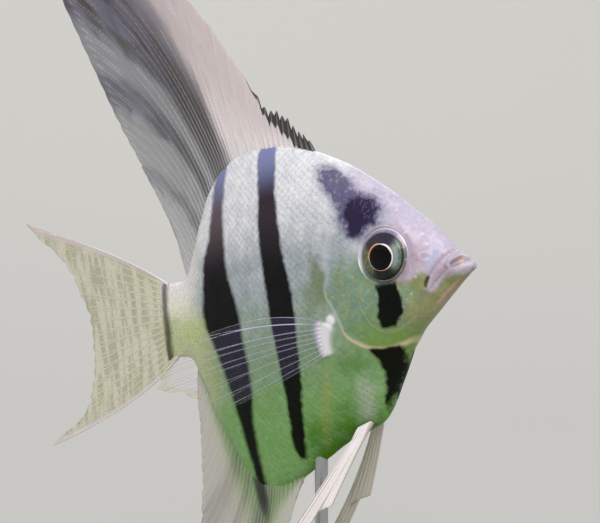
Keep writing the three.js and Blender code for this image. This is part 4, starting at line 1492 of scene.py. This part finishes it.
def worn_edge(number, every_ray, from_ray, deepest):
    """How far out each column reaches: rays end unevenly, and the web between them is cut in."""
    worn = np.interp(number, every_ray, rng.uniform(0, 0.8, len(every_ray)))
    torn = np.interp(number, every_ray[:-1] + 0.5, rng.uniform(0.3, 1.2, len(every_ray) - 1))
    cut = np.minimum(deepest, MOST_CUT)
    return 1 - cut * (worn + torn * np.abs(2 * from_ray) ** 1.4)


def ray_relief(t, from_ray, soft, spacing, width):
    """1 on a ray and 0 on the web. Soft rays fork into two branches and then four twigs."""
    first, second = (
        part * ease(t, start, end) * soft for part, start, end in (FIRST_FORK, SECOND_FORK)
    )
    bony = np.zeros_like(t)
    for branch in (-1, 1):
        for twig in (-1, 1):
            away = (from_ray - branch * first - twig * second) * spacing
            bony = np.maximum(bony, swell(away, width * (1.3 - 0.9 * t)))
    return bony


def sheet_faces(columns, step):
    """Faces round both sides of a sheet, with caps along its root and its tip."""
    around = grid_faces(2 * columns, step, wrap=True)
    k = np.arange(columns - 1) * step
    opposite = (2 * columns - 1) * step - k
    root_cap = np.stack([k, opposite, opposite - step, k + step], axis=-1)
    tip_cap = (root_cap + step - 1)[:, ::-1]
    return np.concatenate([around, root_cap, tip_cap])


# %% One closed sheet with rays
def fin_sheet(fan, rays, soft_from, notch, form, side_sign=1):
    """Points, faces and maps of one fin, on the right (side_sign = -1) or the left.

    rays lists (number of a ray, its share of the fan). Rays fork behind the share soft_from,
    and notch(share) is how far the edge is cut in between two tips. form holds the number of
    columns from ray to ray (fine) and of rows, the half thicknesses of the web and of a ray,
    half a ray's width, and how much the fleshy root is swollen (pad)."""
    fine, rows = form.fine, form.rows
    numbers, shares = np.array(rays, float).T
    number = np.linspace(numbers[0], numbers[-1], int((numbers[-1] - numbers[0]) * fine) + 1)
    columns = len(number)
    s = np.interp(number, numbers, shares)
    from_ray = (number - np.round(number))[:, None]
    ends = fan(s, np.array([[0.0, 1.0]]))
    length = np.linalg.norm(ends[:, 1] - ends[:, 0], axis=-1)
    every_ray = np.arange(numbers[0], numbers[-1] + 1)
    reach = worn_edge(number, every_ray, from_ray[:, 0], notch(s) / length)
    even = np.linspace(0, 1, rows + 1)[None, :]
    t = even * reach[:, None]
    middle = fan(s, t)
    across = np.gradient(middle, axis=0)
    normal = np.cross(across, np.gradient(middle, axis=1))
    normal /= np.maximum(np.linalg.norm(normal, axis=-1, keepdims=True), 1e-9)

    soft = ease(s, soft_from, soft_from + 0.03)[:, None]
    spacing = np.linalg.norm(across, axis=-1) * fine
    bony = ray_relief(t, from_ray, soft, spacing, form.width)
    root = 1 - ease(t * length[:, None], 0.5, 5)
    thick = form.web + form.ray * (1 - 0.6 * t) * bony + form.pad * root
    thick = thick * (THIN_EDGE + (1 - THIN_EDGE) * ease(1 - even, 0, 0.04))
    lift = normal * thick[..., None]
    points = np.concatenate([middle + lift, (middle - lift)[::-1]])
    points[..., 1] *= side_sign
    faces = sheet_faces(columns, rows + 1)

    def over_both(values):
        values = values * np.ones_like(t)
        return np.concatenate([values, values[::-1]])

    across_fin = over_both(np.linspace(0, 1, columns)[:, None])
    is_back = (faces >= columns * (rows + 1)).mean(axis=1) > 0.5
    u = 0.01 + 0.48 * across_fin.ravel()[faces.ravel()] + 0.5 * np.repeat(is_back, 4)
    v = 0.01 + 0.98 * over_both(even).ravel()[faces.ravel()]
    edge = np.clip((reach[:, None] - t) * length[:, None] / EDGE_SCALE, 0, 1)
    maps = {
        "OFBake": np.stack([u, v], axis=-1),
        "side": at_corners(side_map(points[..., 0], points[..., 2]), [faces]),
        "fan": at_corners(np.stack([over_both(s[:, None]), over_both(t)], axis=-1), [faces]),
        "ray": at_corners(np.stack([over_both(bony), over_both(edge)], axis=-1), [faces]),
    }
    return points, [faces], maps


# %% [markdown]
# ## The fins' finish
# The web is nearly clear and the rays are pale, so one finish can serve every fin: it mixes a
# ray's colour and a web's colour by the "ray" map, and makes the web see-through. Plain glass
# would vanish against a pale room, so the web keeps a little colour of its own. The dark
# streaks of the dorsal and anal fins follow the rays, and so are drawn by the share of the fan.

# %% Mix a fin's finish
JOINT_COUNT = 42  # a soft ray is jointed all along


def fin_finish(name, paint, jointed=0.3):
    """The finish of one kind of fin. paint(bench, place) gives the ray's colour, the web's
    colour, and how solid the web and the rays are. jointed is how much the joints show."""
    bench = Bench(name)
    inner, _ = bench.place("OFBake")
    share, out = bench.place("fan")
    bony, edge = bench.place("ray")
    x, z = bench.place("side")
    # inner is 1 on the side of the sheet that faces the body, which the pelvic finish paints with shade.
    inner = bench.ease(0.5 - inner, -0.005, 0.005)
    place = SimpleNamespace(share=share, out=out, edge=edge, x=x, z=z, inner=inner)
    ray_colour, web_colour, web_cover, ray_cover = paint(bench, place)
    joints = bench.ease(out.math("SINE", out * JOINT_COUNT * 2 * math.pi), 0.1, 0.8)
    joints = joints * bench.ease(out, 0.1, 0.25)
    ray_colour = bench.blend(joints * jointed, ray_colour, web_colour)
    ray_cover = ray_cover * (1 - jointed * joints)
    bony = bench.ease(bony, 0.12, 0.75)
    return bench.finish(
        Base_Color=bench.blend(bony, web_colour, ray_colour),
        Alpha=bench.at_most(web_cover + bony * (ray_cover - web_cover), 1),
        Roughness=0.34 + 0.12 * bench.noise(bench.solid(), 260, 3),
        Coat_Weight=0.25,
        Coat_Roughness=0.2,
        Subsurface_Weight=0.1,
        Subsurface_Scale=0.0005,
    )


# %% Paint the dorsal and anal fins
DORSAL_STREAKS = [
    (0, 0), (0.51, 0), (0.55, 0.1), (0.58, 0.75), (0.64, 1), (0.69, 0.9), (0.715, 0.4), (0.735, 0.25),
    (0.76, 0.8), (0.78, 0.75), (0.805, 0.2), (0.845, 0.25), (0.87, 0.65), (0.895, 0.2), (1, 0.1),
]
ANAL_STREAKS = [
    (0, 0), (0.28, 0.05), (0.34, 0.6), (0.4, 0.8), (0.46, 0.6), (0.52, 0.15), (0.57, 0.5), (0.6, 0.15),
    (0.68, 0.45), (0.73, 0.1), (1, 0.05),
]


def dorsal_paint(bench, place):
    """Beige, then dark and lavender streaks, with a black fringe on the first spines."""
    share, out = place.share, place.out
    streak = bench.noise(bench.vector(share * 14, out * 2.2, 0), 2.4, 3, 0.55)
    fine = bench.noise(bench.vector(share * 60, out * 3, 0), 2.4, 3, 0.6)
    s = share + 0.05 * (streak - 0.5) - 0.06 * (out - 0.1) * bench.ease(share, 0.45, 0.6)
    dark = bench.line(s, DORSAL_STREAKS)
    lavender = bench.ease(out, 0.22, 0.5) * bench.ease(streak, 0.35, 0.6)
    beige = bench.blend(bench.ease(out, 0.1, 0.7), "ece4e2", "d6c8c8")
    web = bench.blend(bench.ease(s, 0.6, 0.72), beige, "8c9294")
    web = bench.blend(bench.ease(fine, 0.4, 0.7) * 0.4, web, "b4b2c2")
    deep = bench.blend(lavender * 0.75, "1c161a", "66647f")
    web = bench.blend(dark * 0.95, web, deep)
    reach = 0.6 - 0.62 * bench.ease(share, 0.08, 0.42)
    fringe = bench.ease(reach - place.edge + 0.12 * (fine - 0.5), -0.03, 0.05)
    web = bench.blend(fringe * 0.97, web, "08080b")
    ray = bench.blend(0.34 - 0.16 * dark - 0.18 * fringe, web, "dcd6e0")
    web_cover = 0.6 + 0.25 * dark - 0.3 * bench.ease(share, 0.75, 1)
    web_cover = bench.at_most(web_cover + fringe, 0.97)
    return ray, web, web_cover, bench.at_most(web_cover + 0.15, 1)


def anal_paint(bench, place):
    """Grey-green, with the third bar of the body running on into it."""
    share, out = place.share, place.out
    streak = bench.noise(bench.vector(share * 12, out * 2.2, 0), 2.2, 3, 0.55)
    s = share + 0.06 * (streak - 0.5) - 0.05 * out
    dark = bench.line(s, ANAL_STREAKS)
    base = 1 - bench.ease(out, 0.04, 0.3)
    web = bench.blend(bench.ease(out, 0.1, 0.6), "a8ac88", "b6b2a8")
    web = bench.blend(base * 0.8, web, "6f9a55")
    web = bench.blend(dark * 0.85, web, "45424a")
    bar_end = spot(bench, place.x, place.z, (-71.2, -47), (7, 1.8), 84, 0.5)
    web = bench.blend(bar_end * 0.9, web, "141316")
    ray = bench.blend(0.4 - 0.3 * bar_end - 0.25 * base, web, "d4d8d0")
    web_cover = 0.42 + 0.25 * dark + 0.3 * bench.at_most(base + bar_end, 1)
    return ray, web, web_cover, web_cover + 0.15


# %% Paint the tail and the paired fins
def caudal_paint(bench, place):
    """Clear, with faint upright bands and a whitish upper and lower ray."""
    waves = bench.noise(bench.vector(place.x * 26, place.z * 5, 0), 1.6, 2)
    band = bench.ease(waves, 0.42, 0.58)
    rim = bench.ease(abs(place.share - 0.5), 0.44, 0.49)
    base = bench.ease(0.16 - place.out, 0, 0.16)
    web = bench.blend(band, "c6c296", "9c9c6c")
    web = bench.blend(base, web, "dad6be")
    web = bench.blend(rim * 0.85, web, "ddd3d8")
    ray = bench.blend(rim, "cfcda6", "ece4e8")
    web_cover = 0.26 + 0.14 * band + 0.4 * rim + 0.35 * base
    return ray, web, web_cover, bench.at_most(web_cover + 0.26, 0.9)


def pectoral_paint(bench, place):
    """Glass clear, with violet-white rays; the brighter violet of the upper rays is a painted highlight.
    """
    root = 1 - bench.ease(place.out, 0.03, 0.09)
    middle = bench.ease(place.out, 0.08, 0.22)
    # upper is a painted highlight on the upper rays.
    upper = (1 - bench.ease(place.share, 0.14, 0.26)) * middle
    tip = (1 - bench.ease(place.edge, 0.08, 0.3)) * (1 - bench.ease(place.share, 0.68, 0.8))
    web = bench.blend(root, "8c8cb8", "dcd6e2")
    web = bench.blend(tip, web, "b3b784")
    ray = bench.blend(upper, "aaa6c4", "d8ccfa")
    ray = bench.blend(root, ray, "d8d2de")
    ray = bench.blend(bench.ease(place.out, 0.55, 0.8), ray, "a8ab86")
    web_cover = 0.03 + 0.65 * root + 0.16 * tip
    return ray, web, web_cover, bench.at_most(0.24 + 0.44 * upper + 0.5 * root + 0.36 * tip, 0.95)


def pelvic_paint(bench, place):
    """Milk white and firm in front, pinkish grey behind, and painted shade tinted green on the inner
    side.
    """
    streak = bench.noise(bench.vector(place.share * 16, place.out * 2, 0), 2.4, 3, 0.6)
    rear = bench.ease(place.share + 0.25 * (streak - 0.5), 0.5, 0.85)
    web = bench.blend(rear, "f4eeee", "c9bdb6")
    web = bench.blend(bench.ease(streak, 0.45, 0.65) * 0.5, web, "b9aaa6")
    # The inner side, in the body's shade, gets painted shade tinted green.
    web = bench.blend(place.inner * 0.9, web, "b6b7a2")
    ray = bench.blend(place.inner * 0.7, "f6f0f2", "c2bfae")
    return ray, web, 0.9 - 0.2 * rear, 0.95


# %% Make the fins
def add_fin(name, sheet, material, *nodes):
    points, faces, maps = sheet
    fin = make_piece(name, posed(points), faces, maps, material)
    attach(fin, "root")
    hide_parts(*nodes)


def constant_notch(depth):
    return lambda s: depth + 0 * s


def dorsal_notch(s):
    return 1.3 * (1 - ease(s, 0.29, 0.33)) + 0.9


MEDIAN = SimpleNamespace(fine=8, rows=90, web=0.11, ray=0.26, width=0.3, pad=0.35)
CAUDAL = SimpleNamespace(fine=16, rows=80, web=0.09, ray=0.22, width=0.3, pad=0.35)
PECTORAL = SimpleNamespace(fine=26, rows=70, web=0.05, ray=0.16, width=0.15, pad=0.35)
PELVIC = SimpleNamespace(fine=14, rows=60, web=0.2, ray=0.12, width=0.3, pad=0.4)
STREAMER = SimpleNamespace(fine=14, rows=120, web=0.16, ray=0.12, width=0.3, pad=0)
DORSAL_RAYS = [(0, 0), (9, 0.3), (13, 0.54), (40, 1)]
ANAL_RAYS = [(0, 0), (5, 0.24), (32, 1)]
CAUDAL_RAYS = [(0, 0), (17, 1)]
PECTORAL_RAYS = [(0, 0), (9, 1)]
PELVIC_RAYS = [(0, 0), (5, 1)]
STREAMER_RAYS = [(0, 0), (4, 1)]
DORSAL_SOFT_FROM = 0.5
ANAL_SOFT_FROM = 0.22
ALL_SOFT = -1
NONE_SOFT = 2

dorsal = fin_sheet(dorsal_fan, DORSAL_RAYS, DORSAL_SOFT_FROM, dorsal_notch, MEDIAN)
anal = fin_sheet(anal_fan, ANAL_RAYS, ANAL_SOFT_FROM, constant_notch(0.9), MEDIAN)
caudal = fin_sheet(caudal_fan, CAUDAL_RAYS, ALL_SOFT, constant_notch(1.2), CAUDAL)
dorsal_web = fin_finish("dorsal_web", dorsal_paint)
add_fin("dorsal_fin", dorsal, dorsal_web, "dorsal_fin_spiny", "dorsal_fin_soft")
add_fin("anal_fin", anal, fin_finish("anal_web", anal_paint), "anal_fin_spiny", "anal_fin_soft")
add_fin("tail_fin", caudal, fin_finish("caudal_web", caudal_paint), "caudal_fin")

# %% Make the paired fins
pectoral_web = fin_finish("pectoral_web", pectoral_paint)
pelvic_web = fin_finish("pelvic_web", pelvic_paint, jointed=0.04)
for side_name, side_sign in (("right", -1), ("left", 1)):
    kinds = (
        (pectoral_fan, PECTORAL_RAYS, ALL_SOFT, constant_notch(1.8), PECTORAL, side_sign),
        (pelvic_fan, PELVIC_RAYS, ALL_SOFT, constant_notch(0.35), PELVIC, side_sign),
        (streamer_fan, STREAMER_RAYS, NONE_SOFT, constant_notch(3), STREAMER, side_sign),
    )
    pectoral, blade, streamer = (fin_sheet(*kind) for kind in kinds)
    add_fin(f"pectoral_{side_name}", pectoral, pectoral_web, f"pectoral_fin_{side_name}")
    add_fin(f"pelvic_{side_name}", blade, pelvic_web, f"pelvic_fin_{side_name}")
    add_fin(f"pelvic_streamer_{side_name}", streamer, pelvic_web)

# %% [markdown]
# ## The stand
# A low walnut block, a turned steel collar and a thin steel rod hold the fish. The rod and
# collar keep their own solids with a brushed finish. The block is made again with a
# finer round edge, because a bevel of two flats would show in its gloss. Its grain is
# stretched noise and rings, which run through the whole block as real grain does.

# %% Turn the walnut block
BASE_LENGTH = 86
BASE_WIDTH = 52
BASE_HEIGHT = 7
BASE_CORNER = 12
BASE_EDGE = 1.2


def block_ring(inset):
    """The block's outline, drawn in by inset, in millimetres."""
    radius = BASE_CORNER - inset
    turn = np.linspace(0, math.pi / 2, 12)
    corners = []
    for quarter, (sx, sy) in enumerate([(1, 1), (-1, 1), (-1, -1), (1, -1)]):
        angle = turn + quarter * math.pi / 2
        x = sx * (BASE_LENGTH / 2 - BASE_CORNER) + radius * np.cos(angle)
        y = sy * (BASE_WIDTH / 2 - BASE_CORNER) + radius * np.sin(angle)
        corners.append(np.stack([x, y], axis=-1))
    return np.concatenate(corners)


def block_points():
    """Rings of points from the middle of the underside, up the rounded sides, to the top's middle."""
    bow = np.linspace(0, math.pi / 2, 7)
    low = [(BASE_EDGE * (1 - math.sin(a)), BASE_EDGE * (1 - math.cos(a))) for a in bow]
    high = [(inset, BASE_HEIGHT - z) for inset, z in low[::-1]]
    rings = [np.insert(block_ring(inset), 2, z, axis=1) for inset, z in low + high]
    for z, ring in ((BASE_HEIGHT, rings[-1]), (0, rings[0])):
        flat = [ring * (k, k, 0) + (0, 0, z) for k in (0.8, 0.5, 0.2, 0)]
        rings = rings + flat if z else flat[::-1] + rings
    return np.array(rings)


def walnut_finish():
    bench = Bench("oiled_walnut")
    x, y, z = bench.split(bench.solid())
    wander = bench.noise(bench.vector(x * 6, y * 22, z * 22), 1.3, 3)
    rings = bench.noise(bench.vector(x * 9, y * 240 + 26 * wander, z * 200), 1.0, 2)
    fibre = bench.noise(bench.vector(x * 60, y * 2600, z * 2600), 1.0, 3, 0.6)
    pore = bench.ease(bench.noise(bench.vector(x * 160, y * 3600, z * 3600), 1.0, 2), 0.62, 0.7)
    colour = bench.blend(bench.ease(rings, 0.3, 0.7), "3c2416", "6b452b")
    colour = bench.blend(fibre * 0.4, colour, "7d5636")
    colour = bench.blend(pore * 0.6, colour, "22130b")
    return bench.finish(
        Base_Color=colour,
        Roughness=0.42 + 0.15 * fibre,
        Normal=bench.bump(0.25, 0.0001, fibre - pore),
        Coat_Weight=0.2,
        Coat_Roughness=0.25,
    )


block = block_points() / 1000
block_faces = [grid_faces(block.shape[1], block.shape[0], wrap=True)]
walnut = make_piece("stand_block", np.swapaxes(block, 0, 1), block_faces, {}, walnut_finish(), weld=True)
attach(walnut, "root")
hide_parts("stand_base")

# %% Brush the steel
def steel_finish():
    bench = Bench("brushed_steel")
    x, y, z = bench.split(bench.solid())
    turned = bench.noise(bench.vector(x * 60, y * 60, z * 9000), 1.0, 2)
    bump = bench.bump(0.15, 0.00003, turned)
    roughness = 0.26 + 0.14 * turned
    return bench.finish(Base_Color=tint("b4b6b8"), Metallic=1.0, Roughness=roughness, Normal=bump)


steel = steel_finish()
for name in ("stand_rod", "stand_collar"):
    node = bpy.data.objects[name]
    node.material_slots[0].material = steel
    node.data.shade_smooth()
    node.data.set_sharp_from_angle(angle=math.radians(35))

# %% [markdown]
# ## The studio
# A pale floor turns up into a pale wall all the way round, so that no horizon cuts the
# picture from any side. One large soft light hangs above and in front, a weaker one fills
# from the fish's other side, and one behind lights the fins through.

# %% Floor and wall
FLOOR_RADIUS = 0.5
TURN_RADIUS = 1.6
TURN_UP = math.radians(60)
AROUND_FLOOR = 96

slope = np.linspace(0, TURN_UP, 24)
turned_up = [(FLOOR_RADIUS + TURN_RADIUS * math.sin(a), TURN_RADIUS * (1 - math.cos(a))) for a in slope]
profile = [(0, 0), *turned_up]
turn = np.linspace(0, 2 * math.pi, AROUND_FLOOR, endpoint=False)
floor_points = np.array([[(r * math.cos(a), r * math.sin(a), z) for r, z in profile] for a in turn])
floor_faces = [grid_faces(AROUND_FLOOR, len(profile), wrap=True)]
floor_paint = Bench("studio_floor").finish(Base_Color=tint("b8b8b5"), Roughness=0.9)
floor = make_piece("studio_floor", floor_points, floor_faces, {}, floor_paint, weld=True)

# %% Lights
scene = bpy.context.scene
scene.view_settings.view_transform = "Standard"
world = bpy.data.worlds.new("studio")
world.use_nodes = True
world.node_tree.nodes["Background"].inputs["Color"].default_value = tint("eceef2")
world.node_tree.nodes["Background"].inputs["Strength"].default_value = 0.8
scene.world = world


def soft_light(name, towards, strength, spread_degrees, colour):
    """A broad far light, as from a big softbox, that doesn't fall off across the floor."""
    light = bpy.data.objects.new(name, bpy.data.lights.new(name, "SUN"))
    light.data.energy = strength
    light.data.angle = math.radians(spread_degrees)
    light.data.color = tint(colour)[:3]
    light.rotation_euler = Vector(towards).to_track_quat("Z", "Y").to_euler()
    bpy.context.scene.collection.objects.link(light)


soft_light("key", (0.5, -0.7, 0.8), 2.0, 40, "fff8f0")
soft_light("fill", (0.9, 0.3, 0.25), 0.3, 60, "eaf1ff")
soft_light("rim", (-0.6, 0.8, 0.5), 0.8, 40, "f2f4ff")
